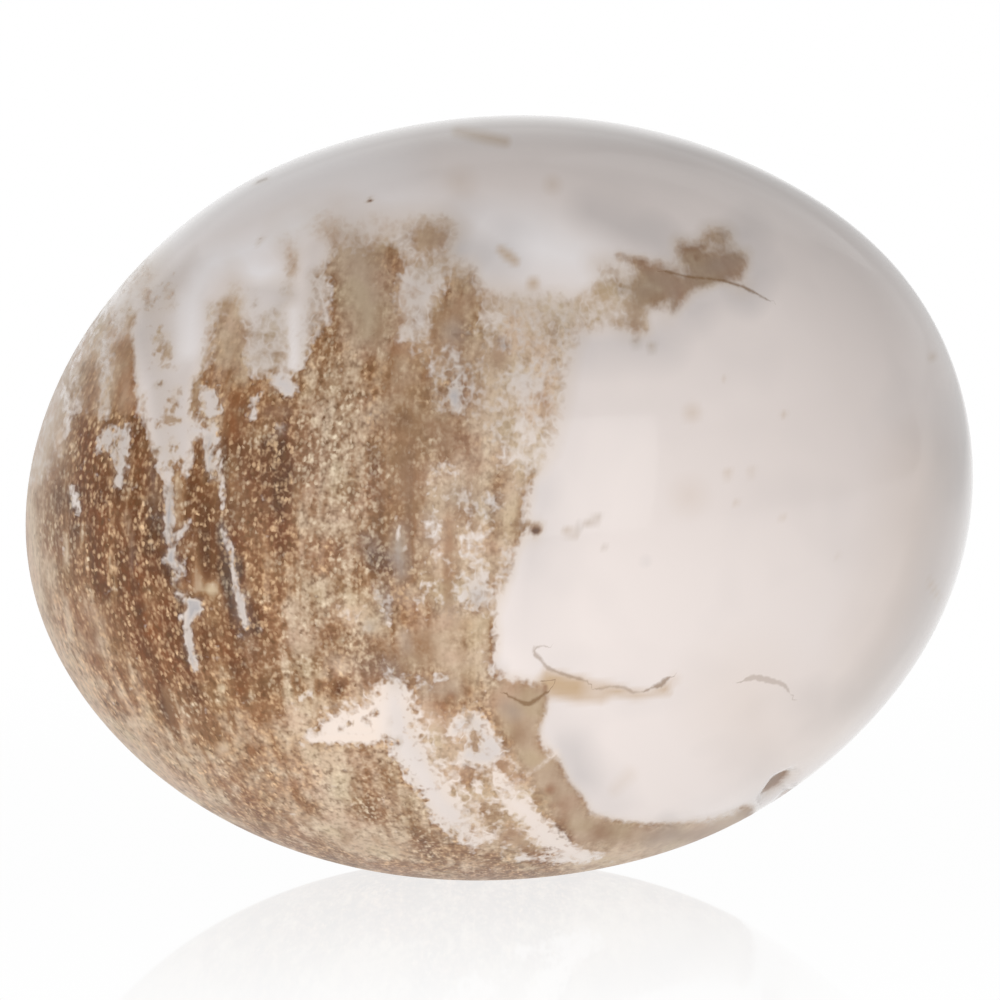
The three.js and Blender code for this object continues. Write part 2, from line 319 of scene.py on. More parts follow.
    stroke(0.25, (-11.15, 6.9, 0.12), (-11.1, 6.45, 0.15), wood=0.15, ragged=0.3, dark=-0.1, rust=0.3),
    stroke(0.2, (-11.35, 5.3, 0.14), (-11.25, 4.8, 0.18), wood=0.8, ragged=0.4, dark=0.2, rust=0, grit=0.1),
    stroke(0.12, (-11.4, 4.3, 0.03), (-11.15, 4.5, 0.04), (-10.9, 4.3, 0.03), wood=0.1, dark=0.2),
    stroke(0.1, (-11.47, 3.75, 0.09), wood=0.8, dark=0.5, rust=0, grit=0, cool=0.8),
    stroke(0.15, (-10.85, 3.5, 0.12), wood=0.7, dark=0.25, grit=0),
    stroke(0.15, (-11.05, 3, 0.15), wood=0.7, dark=0.25, rust=0, grit=0),
    stroke(0.12, (-11.4, 2.45, 0.08), (-11.1, 2.6, 0.12), (-10.8, 2.5, 0.08), wood=0.8, dark=0.25, rust=0,
        grit=0),
    stroke(0.12, (-11, 1.67, 0.15), wood=0.9, dark=0.4, rust=0, grit=0, cool=0.4),
    stroke(0.12, (-11.55, 1.5, 0.13), wood=0.8, dark=0.5, rust=0, grit=0, cool=0.7),
    stroke(0.12, (-10.87, 1.05, 0.12), wood=0.8, dark=0.6, rust=0.2, grit=0.2),
    stroke(0.1, (-11.95, 3.5, 0.03), (-11.95, 3.1, 0.03), wood=0.3, dark=0.4, grit=0),
    stroke(0.25, (-9.75, 6.4, 0.12), (-9.7, 5.4, 0.15), (-9.9, 4.6, 0.15), wood=0.4, ragged=0.5, dark=0.1,
        cool=0.4),
    stroke(0.15, (-9.75, 5.8, 0.08), wood=-0.6, ragged=0.5),
    stroke(0.6, (-9.1, 7.7, 0.25), (-8.9, 7.2, 0.4), (-8.9, 6.6, 0.4), wood=0.25, ragged=0.25, dark=0,
        rust=0.15, grit=0.05),
    stroke(0.4, (-8.7, 7.6, 0.1), wood=-0.2, ragged=0.2, cool=0.2),
    stroke(0.3, (-9.2, 6.4, 0.15), (-8.7, 6.4, 0.15), wood=0.7, ragged=0.3, dark=0.2, rust=0.1, grit=0.1),
    stroke(0.4, (-9, 5.9, 0.4), (-8.95, 5.2, 0.5), (-9.1, 4.6, 0.45), wood=0.85, ragged=0.5, dark=0.12,
        rust=0.25, grit=0.25, cool=0.15),
    stroke(0.3, (-9.8, 3.9, 0.2), (-8.8, 3.8, 0.3), (-8, 3.7, 0.2), wood=0.8, ragged=0.7, dark=0.35,
        rust=0.7, grit=0.6),
    stroke(0.14, (-10.25, 3.9, 0.1), (-10.2, 2.8, 0.14), wood=0.8, ragged=0.5, dark=0.25, rust=0, grit=0.3),
    area(0.2, (-10.05, 3.63), (-9.45, 3.63), (-9.2, 3.1), (-9.45, 2.5), (-9.45, 1.85), (-10.05, 1.9),
        (-10.45, 2), (-10.45, 2.45), (-10.1, 2.6), (-10.15, 3.25), wood=-0.35, ragged=1.2, dark=0.15,
        cool=0.35),
    stroke(0.14, (-9.8, 3.4, 0.12), (-9.75, 2.9, 0.15), wood=-1, ragged=0.6, cool=0.3),
    stroke(0.14, (-10.3, 2.3, 0.1), (-9.8, 2.1, 0.12), wood=-0.9, ragged=0.6, cool=0.3),
    stroke(0.8, (-7.1, 8.9, 0.3), (-6.3, 9.1, 0.5), (-5.5, 9.2, 0.5), (-4.7, 9.1, 0.5), wood=0.1,
        ragged=0.25, dark=0, rust=0.15, grit=0),
    stroke(0.6, (-5.5, 8.8, 0.2), (-4.7, 8.8, 0.35), (-4, 8.6, 0.3), wood=0.5, ragged=0.25, dark=0.2,
        rust=0.2, grit=0.05),
    stroke(0.4, (-7.1, 8.5, 0.2), (-7.1, 7.3, 0.2), wood=0.2, ragged=0.25, dark=0, rust=0.2, grit=0),
    stroke(0.25, (-6.97, 8.1, 0.12), (-6.95, 7.7, 0.16), wood=0.8, ragged=0.25, dark=0.05, rust=0.6),
    stroke(0.2, (-7.3, 6.95, 0.12), wood=0.2, ragged=0.5, dark=0.3, cool=0.8),
    stroke(0.6, (-3.8, 9.1, 0.25), (-2.9, 9.3, 0.25), (-2, 9.3, 0.25), (-1.5, 9, 0.2), wood=0.1, ragged=0.25,
        dark=0, rust=0.15, grit=0),
    area(0.4, (-2.95, 8.9), (-2.5, 9.15), (-1.8, 9.15), (-1.6, 8.7), (-1.7, 8.2), (-2.3, 8), (-2.9, 8.1),
        wood=0.7, ragged=0.35, dark=0.2, rust=0.3, grit=0.1),
    stroke(0.25, (-3.15, 8.7, 0.15), (-3.1, 8.2, 0.15), wood=-0.4, ragged=0.4, cool=0.2),
    stroke(0.3, (-3.7, 8.1, 0.2), (-3.2, 7.7, 0.15), wood=0.8, ragged=0.4, dark=0.35, rust=0.5),
    # lacing of wood and agate
    area(0.4, (-2.6, 1.1), (-1.6, 1.2), (-0.9, 1.6), (-0.3, 0.6), (-0.2, -0.8), (-0.1, -2), (-0.4, -3.6),
        (-1.4, -3.8), (-2.8, -3.9), (-2.9, -2), (-2.6, 0), wood=0.6, ragged=0.85, dark=0.13, rust=0.1,
        grit=0.5, cool=0.1),
    area(0.5, (-0.8, 5.2), (0.3, 6.6), (1.8, 6.7), (3.1, 6.2), (2.5, 5), (2.2, 3.4), (2, 2.4), (1.7, 1.4),
        (1.2, 0.9), (0.2, 1.2), (-0.8, 1.5), (-0.9, 2.6), (-0.6, 3.6), wood=0.3, ragged=0.6, dark=0,
        rust=0.05, grit=0.35, cool=0.25),
    stroke(0.6, (-0.3, 6.7, 0.3), (0.6, 6.4, 0.35), (1.6, 6.2, 0.35), (2.6, 6.2, 0.4), (3.6, 6.2, 0.4),
        wood=0.1, ragged=0.3, dark=0, rust=0.1, grit=0.1),
    area(0.35, (-8.6, 7.2), (-7.4, 7.6), (-6.8, 6.8), (-6.6, 5.4), (-6.7, 4.2), (-8.5, 4.2), (-8.5, 5.6),
        wood=-0.15, ragged=0.4, dark=0.05, rust=0.05, grit=0.2, cool=0.5),
    stroke(0.2, (-8, 5.5, 0.1), (-7.6, 5.3, 0.12), wood=0.4, ragged=0.5, dark=0.3, rust=0, grit=0.2),
    stroke(0.2, (-8, 4.75, 0.12), (-7.3, 4.75, 0.1), wood=0.4, ragged=0.5, dark=0.3, rust=0, grit=0.2),
    stroke(0.2, (-7.9, 4.2, 0.12), (-7.4, 4.25, 0.12), wood=0.5, ragged=0.5, dark=0.4, rust=0.2),
    stroke(0.12, (-7.6, 6.2, 0.09), wood=0.4, dark=0.5, grit=0, cool=0.8),
    stroke(0.12, (-8.2, 6.5, 0.08), wood=0.4, dark=0.5, grit=0, cool=0.8),
    stroke(0.2, (-6.95, 6.2, 0.12), (-6.92, 4.4, 0.14), wood=-0.9, ragged=0.5, cool=0.2),
    stroke(0.3, (-6.25, 8.3, 0.2), (-6.25, 7.9, 0.2), wood=-0.7, ragged=0.3, cool=0.2),
    stroke(0.3, (-6.2, 7.4, 0.2), (-6.2, 5.8, 0.2), wood=0.3, ragged=0.6, dark=0.1, cool=0.6),
    stroke(0.2, (-7.4, 3.85, 0.25), (-7.1, 3.6, 0.28), wood=-1, ragged=0.7, cool=0.4),
    area(0.4, (-3, 7.9), (-2, 7.8), (-1.9, 7.2), (-2.4, 6.4), (-2.6, 5.3), (-3.3, 5.3), (-3.3, 7),
        wood=-0.25, ragged=0.45, dark=0.1, grit=0.1, cool=0.45),
    stroke(0.3, (-3.1, 7.7, 0.15), (-2.4, 7.5, 0.2), wood=0.2, ragged=0.6, dark=0.2, grit=0.1),
    stroke(0.3, (-2.9, 7, 0.15), (-2.9, 5.6, 0.15), wood=-0.4, ragged=0.5, cool=0.4),
    stroke(0.4, (-2.9, 8, 0.25), (-2.2, 7.85, 0.35), (-1.6, 7.7, 0.3), wood=0.2, ragged=0.5, dark=0,
        grit=0.15),
    stroke(0.5, (-1.3, 7.5, 0.3), (-1.1, 7.6, 0.2), wood=0.3, ragged=0.3, dark=0.1, grit=0.05),
    stroke(0.45, (-0.95, 6.9, 0.25), (-1.5, 6.2, 0.45), (-1.8, 5.4, 0.4), (-1.1, 4.9, 0.3), wood=0.85,
        ragged=0.4, dark=0.32, rust=0.15, grit=0.1, cool=0.15),
    stroke(0.4, (-1.9, 4.6, 0.3), (-1.1, 4.3, 0.3), wood=0.3, ragged=0.6, dark=0.1, grit=0.3, cool=0.2),
    stroke(0.3, (-2.2, 6.4, 0.15), (-2.15, 5.8, 0.15), wood=0.6, dark=0.2, rust=0, grit=0.1),
    stroke(0.5, (-3, 5, 0.3), (-2.4, 4.9, 0.3), wood=0.6, ragged=0.5, dark=0.15, grit=0.2),
    stroke(0.5, (-2.4, 5, 0.3), (-2, 4.4, 0.3), wood=0.3, ragged=0.6, dark=0.1, grit=0.3),
    stroke(0.3, (-1.6, 4.75, 0.12), (-1.45, 4.2, 0.2), wood=-0.3, ragged=0.6, grit=0.2, cool=0.55),
    stroke(0.3, (-2.1, 4.2, 0.15), (-2.2, 3.5, 0.15), (-1.9, 2.9, 0.1), wood=0.1, ragged=0.7, dark=0.15,
        grit=0.3, cool=0.4),
    stroke(0.25, (-1.55, 3.4, 0.17), (-1.4, 3, 0.2), wood=-0.7, ragged=0.5, grit=0.2, cool=0.5),
    stroke(0.4, (-0.9, 4.2, 0.2), (-0.9, 3, 0.2), wood=0.35, ragged=0.7, dark=0.2, grit=0.3, cool=0.3),
    stroke(0.3, (-0.2, 4.65, 0.2), (0.2, 4.55, 0.15), wood=0.75, ragged=0.4, dark=0.3, rust=0, grit=0.1),
    stroke(0.25, (-0.35, 4.2, 0.12), (-0.5, 3.4, 0.15), (-0.6, 2.6, 0.15), wood=0.5, ragged=0.5, dark=0.1,
        rust=0.15, grit=0.2),
    stroke(0.15, (0, 5.2, 0.1), (0.25, 5.05, 0.1), wood=0.5, dark=0.5, rust=0, grit=0.1, cool=0.9),
    stroke(0.35, (0.4, 4.1, 0.2), (0.9, 3.8, 0.3), (1, 3.3, 0.15), wood=-0.55, ragged=0.5, cool=0.3),
    stroke(0.35, (0.8, 2.6, 0.2), (0.9, 1.9, 0.2), wood=-0.3, ragged=0.6, cool=0.1),
    stroke(0.25, (1.3, 3.4, 0.15), (1.7, 3, 0.15), wood=0.35, ragged=0.5, dark=0.1, rust=0.7, grit=0.1),
    stroke(0.4, (-0.5, 1.9, 0.5), (0, 1.4, 0.4), wood=0.45, ragged=0.7, dark=0.1, rust=0.3, grit=0.5),
    stroke(0.3, (0.4, 1.3, 0.2), (1.2, 1.4, 0.2), wood=-0.1, ragged=0.6, dark=0, grit=0.2),
    stroke(0.25, (-2.2, 0.75, 0.12), (-1.4, 0.65, 0.12), wood=0.05, ragged=0.6, dark=0.1, cool=0.2),
    stroke(0.3, (-1.5, 0, 0.25), (-0.9, -0.2, 0.25), wood=0.25, ragged=0.6, dark=0.25, grit=0.3, cool=0.6),
    stroke(0.3, (-2.3, -0.7, 0.2), (-2.2, -1.3, 0.25), wood=0.1, ragged=0.7, dark=0.2, grit=0.2, cool=0.6),
    stroke(0.4, (-0.9, -0.6, 0.2), (-0.8, -1.8, 0.25), (-0.7, -2.8, 0.35), (-0.6, -3.5, 0.25), wood=0.05,
        ragged=0.7, dark=0.1, rust=0.2, grit=0.4, cool=0.2),
    stroke(0.2, (-1.65, -0.9, 0.12), (-1.65, -2, 0.14), (-1.75, -3.8, 0.12), wood=0.8, ragged=0.6, dark=0.35,
        rust=0.35, grit=0.1),
    stroke(0.35, (0.65, 0.5, 0.3), (0.4, -0.3, 0.25), (0.3, -1.2, 0.2), (0, -2.6, 0.1), wood=0.55,
        ragged=0.6, dark=-0.1, rust=0.15, grit=0.15),
    stroke(0.3, (0.3, -1.9, 0.15), (0.25, -2.6, 0.15), wood=-0.2, ragged=0.7, cool=0.3),
    stroke(0.3, (0.1, -3, 0.15), (-0.3, -4, 0.2), wood=0.2, ragged=0.6, dark=0.05, grit=0.3),
    area(0.35, (-2.9, -6.9), (-2.2, -7.2), (-0.9, -7.2), (0.1, -8), (0.9, -9.4), (1.9, -10.8), (2.6, -12),
        (0.6, -12), (-1.2, -11.7), (-2.2, -10.2), (-2.6, -8.6), wood=0.4, ragged=0.7, dark=0.05, rust=0.35,
        grit=0.45, blush=0.8),
    stroke(0.25, (-2.4, -7.2, 0.15), (-2, -7.9, 0.2), (-1.7, -7.7, 0.15), wood=0.7, ragged=0.4, dark=0.1,
        rust=0.1, grit=0.1),
    area(0.22, (-1.55, -7.5), (-0.9, -7.35), (-0.45, -7.5), (-0.4, -7.9), (0.1, -8.2), (0.25, -8.7),
        (-0.2, -9.1), (-0.9, -9.05), (-1.4, -8.9), (-1.2, -8.5), (-1.1, -8.05), (-1.7, -8.1), wood=-0.65,
        ragged=0.8, cool=0.35, blush=0),
    # wood cells among the lacing below
    stroke(0.16, (-0.85, -8, 0.12), (-0.78, -8.45, 0.18), wood=1, dark=0.2, rust=0.1, cool=0.2),
    stroke(0.12, (-1, -7.5, 0.14), wood=0.7, dark=0.2, rust=0, cool=0.8),
    stroke(0.2, (-1.9, -8.4, 0.2), (-1.5, -8.55, 0.2), wood=0.9, dark=0.1, rust=0.3),
    stroke(0.14, (-2.05, -9.3, 0.05), (-1.8, -9.7, 0.07), (-1.5, -10.1, 0.07), wood=0.6, dark=0.15,
        rust=0.1),
    stroke(0.15, (-1.55, -9.45, 0.12), wood=-0.5, blush=0.9),
    stroke(0.18, (-1.2, -9.2, 0.15), (-1.1, -9.6, 0.22), wood=0.9, dark=0.2, rust=0.7),
    stroke(0.18, (-0.8, -9.5, 0.12), (-0.55, -9.8, 0.12), wood=0.7, dark=0.2, rust=0.4),
    stroke(0.12, (-1.15, -9.05, 0.07), (-0.5, -9.2, 0.05), wood=0.4, dark=0.4, cool=0.8),
    stroke(0.12, (-0.25, -10.6, 0.3), wood=0.9, dark=0.3, rust=0),
    stroke(0.1, (-0.35, -10.65, 0.12), wood=0.2, dark=0.1),
    stroke(0.12, (0.2, -10.75, 0.1), wood=0.8, dark=0.3, rust=0),
    stroke(0.2, (0.4, -11.3, 0.15), (0.65, -11.55, 0.2), wood=0.9, dark=0.25, grit=0.1),
    stroke(0.18, (-0.1, -9.05, 0.12), (0.2, -9.15, 0.12), wood=0.9, dark=0.35, rust=0.4, grit=0.1),
    stroke(0.12, (0.3, -9.85, 0.1), wood=0.3, dark=0.2, cool=0.7),
    stroke(0.2, (0.75, -9.8, 0.12), (0.9, -10, 0.1), wood=0.5, dark=0, rust=0),
    stroke(0.12, (-1.07, -10.6, 0.15), wood=0.9, dark=0.3, cool=0.6),
    stroke(0.1, (-1.1, -11.15, 0.16), wood=0.9, dark=0.35, rust=0, cool=0.5),
    stroke(0.1, (-0.2, -11.35, 0.06), wood=0.6, dark=0.5, rust=0, cool=0.6),
    stroke(0.12, (-1.5, -11.2, 0.08), (-1.35, -11.4, 0.08), wood=0.7, dark=0.4, rust=0, cool=0.4),
    stroke(0.15, (1.9, -8.7, 0.04), (1.4, -9.1, 0.06), (1.05, -9.35, 0.06), wood=-0.3, blush=1),
    # agate in the wood: the fingers below the wedge, then blobs and bands, and painted glints on a glassy
    # spot
    stroke(0.12, (-11.4, 0.4, 0.04), (-11.4, -0.6, 0.05), (-11.45, -1.2, 0.07), dark=1.1, rust=0.3,
        grit=0.5),
    stroke(0.12, (-10.85, 0.6, 0.05), (-10.8, -0.5, 0.08), (-10.75, -1, 0.06), wood=1, dark=0.5, rust=0,
        grit=0.2),
    stroke(0.14, (-11.4, -1.9, 0.05), (-11.2, -2.5, 0.1), (-10.95, -3.05, 0.1), (-10.75, -3.5, 0.07),
        dark=1.2, rust=0.3, grit=0.4),
    stroke(0.12, (-10.6, -4.2, 0.05), (-10.62, -5.3, 0.06), dark=1.2, rust=0.3, grit=0.4),
    stroke(0.1, (-9.25, 2, 0.04), (-9.2, 0.3, 0.05), dark=0.9, rust=0, grit=0.4),
    stroke(0.14, (-9.45, -1, 0.05), (-9.35, -1.7, 0.08), (-9.2, -2.4, 0.1), (-9.15, -3, 0.14),
        (-9, -3.7, 0.14), (-8.85, -4.3, 0.08), (-8.65, -4.7, 0.08), dark=1.25, rust=0.2, grit=0.5, cool=0.2),
    stroke(0.14, (-8.75, -2.2, 0.05), (-8.6, -3, 0.05), (-8.4, -3.7, 0.06), (-8.3, -4.2, 0.1),
        (-8.1, -4.6, 0.08), dark=1.15, rust=0.2, grit=0.5, cool=0.2),
    stroke(0.13, (-11.12, 0.2, 0.13), (-11.13, -0.5, 0.14), (-11.1, -1, 0.14), (-11.2, -1.4, 0.11),
        (-10.98, -1.7, 0.09), (-11.08, -2.1, 0.2), (-10.95, -2.3, 0.13), (-10.75, -2.5, 0.09),
        (-10.8, -2.75, 0.08), (-10.95, -2.85, 0.02), wood=-0.9, ragged=0.6, cool=1.1),
    stroke(0.11, (-11, -1.45, 0.12), (-10.6, -1.18, 0.1), (-10.5, -0.8, 0.03), wood=-1, ragged=0.4,
        cool=0.8),
    stroke(0.12, (-10.85, -3.35, 0.05), (-10.5, -3.5, 0.08), (-10.25, -3.75, 0.28), (-10.4, -4.05, 0.12),
        (-10.5, -4.4, 0.09), (-10.43, -5, 0.1), (-10.35, -5.5, 0.1), (-10.2, -5.9, 0.04), wood=-1,
        ragged=0.7, cool=1),
    stroke(0.09, (-10.5, -3.9, 0.05), (-10.72, -4.15, 0.03), wood=-1, ragged=0.4, cool=0.6),
    stroke(0.12, (-9.8, 1.9, 0.1), (-9.75, 1.2, 0.12), (-9.7, 0.6, 0.08), wood=-0.7, ragged=0.5, cool=0.9),
    stroke(0.1, (-9.5, 2, 0.06), (-9.4, 1, 0.07), (-9.35, 0.1, 0.07), (-9.3, -0.4, 0.04), wood=-1,
        ragged=0.5, cool=0.5),
    stroke(0.13, (-9.35, -0.9, 0.02), (-9.2, -1.5, 0.06), (-9, -1.9, 0.06), (-8.95, -2.5, 0.04),
        (-8.88, -3.1, 0.08), (-8.7, -3.6, 0.14), (-8.68, -4, 0.12), (-8.45, -4.45, 0.04), wood=-0.8,
        ragged=0.6, cool=1.2),
    stroke(0.15, (-8.6, -4.7, 0.06), (-8.35, -4.95, 0.08), (-8.4, -5.3, 0.04), dark=0.1, rust=0, cool=0.4),
    area(0.2, (-13.4, 2.3), (-12.5, 2.37), (-12.45, 1.85), (-12.51, 1.38), (-12.58, 0.45), (-12.92, 0.3),
        (-12.97, 0.9), (-13.15, 1.38), (-13.45, 1.57), wood=-0.2, ragged=1.1, dark=0.4, cool=0.4),
    stroke(0.12, (-13.2, 2.2, 0.1), (-13.1, 1.6, 0.12), (-12.85, 1.2, 0.1), wood=-1, ragged=0.7, cool=0.4),
    stroke(0.12, (-12.62, 2.25, 0.1), (-12.65, 1.5, 0.12), (-12.8, 0.9, 0.1), (-12.75, 0.45, 0.13), wood=-1,
        ragged=0.7, cool=0.4),
    stroke(0.1, (-13.6, 2.1, 0.02), (-13.5, 1.75, 0.04), (-13.6, 1.4, 0.02), wood=-0.2, cool=0.3),
    stroke(0.1, (-14.4, 0.35, 0.06), (-14.3, -0.05, 0.1), (-14.15, -0.5, 0.06), wood=-1.1, ragged=0.5,
        cool=0.3),
    stroke(0.1, (-14.55, 0.2, 0.04), (-14.4, -0.4, 0.04), dark=0.9, rust=0, cool=0.3),
    stroke(0.1, (-12.55, -0.6, 0.04), (-12.5, -1.1, 0.05), (-12.35, -1.7, 0.04), (-12.38, -2.4, 0.03),
        dark=0.1, rust=0, grit=0.2, cool=0.5),
    stroke(0.1, (-13.15, -2, 0.04), (-12.95, -3.2, 0.04), dark=-0.2, rust=0.1, grit=0.6),
    stroke(0.1, (-14.05, -0.9, 0.04), (-14.05, -1.5, 0.04), dark=-0.2, rust=0.1, grit=0.6),
    stroke(0.12, (-14.62, -1.4, 0.03), (-14.55, -2.2, 0.04), dark=-0.4, rust=0, grit=0.3),
    stroke(0.12, (-14.6, -3.5, 0.04), (-14.45, -4.9, 0.03), dark=-0.4, rust=0, grit=0.3),
    stroke(0.1, (-10.6, -8.9, 0.03), (-9.9, -9.7, 0.03), dark=-0.5, grit=0.3),
    stroke(0.12, (-8.1, 3.4, 0.05), (-8.3, 3.1, 0.06), (-8.35, 2.65, 0.13), wood=-0.6, ragged=0.6, cool=0.4),
    stroke(0.2, (-7.8, 2.85, 0.12), (-7.2, 2.85, 0.14), dark=0.5, rust=0.3, grit=0.05, cool=0.3),
    stroke(0.15, (-7.8, 2.25, 0.1), wood=0.1, ragged=0.5, dark=0, cool=0.2),
    stroke(0.15, (-7.35, 2.25, 0.16), wood=0.2, ragged=0.4, dark=0.2, cool=0.9),
    stroke(0.1, (-7.5, 2.1, 0.04), dark=0.9, cool=0.5),
    stroke(0.1, (-9.7, -3.15, 0.25), wood=1, dark=-0.15, rust=0.1, grit=0),
    stroke(0.1, (-9.6, -2.9, 0.05), wood=0, dark=-0.5, rust=0, grit=0),
    stroke(0.12, (-10.2, -2.2, 0.05), (-10.15, -2.7, 0.14), (-10.1, -3.1, 0.2), dark=0.15, rust=0, grit=0),
    stroke(0.1, (-9.35, -6.5, 0.1), dark=-0.3, rust=0.1, grit=0.3),
    stroke(0.12, (-9.3, -8.5, 0.2), dark=-0.2, rust=0.1, grit=0.1),
    stroke(0.12, (-5.3, -4.85, 0.1), wood=0.1, dark=-0.3, rust=0.1, grit=0.1),
    stroke(0.12, (-6.65, -6.8, 0.07), wood=0.2, dark=-0.3, rust=0, grit=0.1),
    stroke(0.12, (-6.35, -6.5, 0.07), wood=0.2, dark=-0.3, rust=0, grit=0.1),
    stroke(0.25, (-3.35, -1.2, 0.22), (-3.4, -2, 0.28), (-3.3, -2.6, 0.2), wood=0.4, ragged=0.2, dark=0,
        rust=0, grit=0.05, cool=0.9),
    # two painted highlights: white specks standing in for glints on the glassy grey spot
    stroke(0.1, (-3.4, -1.15, 0.03), (-3.42, -1.4, 0.03), wood=-1, ragged=0.1, cool=0),
    stroke(0.08, (-3.15, -1.85, 0.03), wood=-1, ragged=0.1, cool=0),
    stroke(0.25, (-3.95, -3.2, 0.25), (-3.8, -4, 0.2), wood=0.1, ragged=0.8, dark=0.4, rust=0, cool=0.8),
    stroke(0.25, (-3.7, -5.8, 0.2), (-3.5, -6.5, 0.2), wood=0, ragged=0.7, dark=0.1, rust=0, cool=0.6),
    stroke(0.12, (-4.35, -4.4, 0.2), wood=0.2, ragged=0.2, dark=-0.1, rust=0, grit=0, cool=0.4),
    stroke(0.12, (-3.72, -4.3, 0.1), wood=-0.1, ragged=0.3, grit=0, blush=0.8),
    stroke(0.3, (-5.4, -3.9, 0.12), (-4.6, -3.9, 0.15), wood=0, ragged=0.5, dark=-0.1, rust=0.3, grit=0.3,
        blush=1.2),
    stroke(0.16, (-2.05, -6.15, 0.12), (-1.8, -6.15, 0.1), wood=-0.6, ragged=0.6, cool=0.5),
    area(0.4, (-6.5, -8.25), (-6, -7.9), (-5.8, -7.45), (-5.2, -7.2), (-4.6, -6.9), (-3.7, -6.5),
        (-3.1, -6.9), (-3.2, -7.8), (-3.9, -8.3), wood=-0.9, ragged=0.5, blush=1),
    stroke(0.08, (-6.7, -8.27, 0.02), (-5.6, -8.2, 0.08), (-4.2, -8.2, 0.1), wood=-1, ragged=0.4, blush=1.2),
    area(0.35, (-3.9, -6.3), (-3.3, -6.6), (-3, -7.2), (-2.85, -8), (-2.4, -8.5), (-2.15, -9.1),
        (-1.9, -9.7), (-1.6, -10.2), (-1.2, -10.5), (-1, -11), (-0.9, -11.7), (-1.5, -11.5), (-2, -11.1),
        (-2.45, -10.5), (-2.7, -10), (-3.05, -9.5), (-3.5, -8.9), (-3.9, -8.2), (-3.9, -7.2), wood=-0.75,
        ragged=0.75, cool=0.15, blush=0.1),
    stroke(0.3, (-3, -6.9, 0.12), (-2.75, -7.6, 0.25), (-2.4, -8.3, 0.25), (-1.9, -9.3, 0.2), wood=0.2,
        ragged=0.8, dark=0, rust=0.1, blush=0.4),
    stroke(0.12, (-3.4, -8.3, 0.12), wood=0.4, dark=0.3, cool=0.9),
    stroke(0.12, (-3.75, -8.15, 0.06), wood=0.4, dark=0.5, cool=0.9),
    stroke(0.2, (-0.4, -11.5, 0.1), (-0.9, -11.7, 0.12), wood=-0.7, ragged=0.6, cool=0.2),
    stroke(0.25, (0.3, -10.2, 0.2), (0.9, -10.6, 0.3), (1.35, -11.2, 0.35), (1.9, -11.75, 0.3),
        (2.8, -12.1, 0.15), wood=-0.8, ragged=0.75, blush=0.5),
    stroke(0.25, (-0.55, -9.75, 0.2), (-0.4, -10.1, 0.12), wood=0.1, ragged=0.8, dark=0, blush=0.4),
    stroke(0.25, (0, -9.5, 0.12), (0.2, -10, 0.15), wood=-0.6, ragged=0.7, blush=0.6),
    stroke(0.12, (0.6, -12.2, 0.1), (2, -12.3, 0.08), (3.4, -12.1, 0.05), wood=-0.5, ragged=0.5),
    stroke(0.3, (-5.3, -7.1, 0.15), (-4.7, -6.85, 0.25), (-4.15, -6.5, 0.2), wood=-0.1, ragged=0.7, dark=0,
        grit=0.4, blush=1),
    # pores of the agate wedges
    stroke(0.1, (-5.35, -7.82, 0.08), (-5.15, -7.75, 0.04), wood=0.5, dark=0.3, cool=0.5, blush=0),
    stroke(0.08, (-5, -7.7, 0.09), wood=0.7, dark=0.4, cool=0.5),
    stroke(0.1, (-5.17, -7.5, 0.07), wood=0.4, dark=0.3, cool=0.5),
    stroke(0.1, (-4.55, -7.5, 0.08), (-4.4, -7.68, 0.08), wood=0.6, dark=0.3, cool=0.4, blush=0),
    stroke(0.1, (-4.15, -7.3, 0.1), wood=0.6, dark=0.35, cool=0.5, blush=0),
    stroke(0.1, (-3.7, -7.6, 0.05), wood=0.2, dark=0.3, cool=0.8),
    # the patch at the upper right
    stroke(0.5, (3.6, 7.6, 0.3), (4.2, 6.6, 0.5), (4.4, 5.8, 0.3), wood=0.05, ragged=0.5, dark=0.05, rust=0,
        grit=0.1, cool=0.15),
    stroke(0.35, (2.9, 6.6, 0.15), (3.3, 6.9, 0.2), (3.7, 6.6, 0.2), wood=0.35, ragged=0.3, dark=0,
        rust=0.15, grit=0),
    stroke(0.25, (3.45, 7, 0.12), (3.65, 6.85, 0.15), wood=0.7, ragged=0.3, dark=0.02, rust=0.2, grit=0),
    stroke(0.35, (3, 6.4, 0.2), (3.2, 5.9, 0.25), wood=0, ragged=0.6, dark=0.1, grit=0.1),
    stroke(0.7, (5.2, 8.8, 0.3), (5.7, 8.2, 0.3), cool=0.3),
    area(0.35, (4.62, 7.87), (5.32, 7.84), (5.72, 7.67), (6.19, 7.43), (6.9, 7.3), (7, 7.14), (6.48, 6.88),
        (6.2, 6.53), (5.9, 6.3), (5.72, 6.55), (5.32, 6.48), (4.97, 6.36), (4.85, 6), (4.79, 5.7),
        (4.5, 5.72), (4.47, 6.36), (4.45, 7), (4.71, 7.4), wood=1, ragged=0.25, dark=0.4, rust=0.2,
        grit=0.03, cool=0.35),
    area(0.4, (6, 8.57), (6.9, 8.51), (7, 8.3), (7.8, 8.28), (8.3, 8.16), (8.28, 7.81), (7.87, 7.58),
        (7.64, 7.29), (7, 7.26), (6.48, 7.35), (6.3, 7.7), (6.13, 8.04), wood=1, ragged=0.25, dark=0.42,
        rust=0, grit=0.03, cool=0.5),
    stroke(0.35, (7.2, 7.45, 0.15), (8, 7.7, 0.2), wood=0.9, ragged=0.25, dark=0.38, grit=0.03, cool=0.5),
    stroke(0.4, (7.15, 8.8, 0.25), (7.55, 8.75, 0.28), wood=0.5, ragged=0.25, dark=0.1, rust=0, grit=0.05,
        cool=0.35),
    stroke(0.2, (7.5, 9, 0.06), (7.65, 8.85, 0.07), dark=0.5),
    stroke(0.22, (4.05, 8.1, 0.05), (4.8, 7.92, 0.1), wood=0.8, ragged=0.2, dark=0.45, rust=0, cool=0.4),
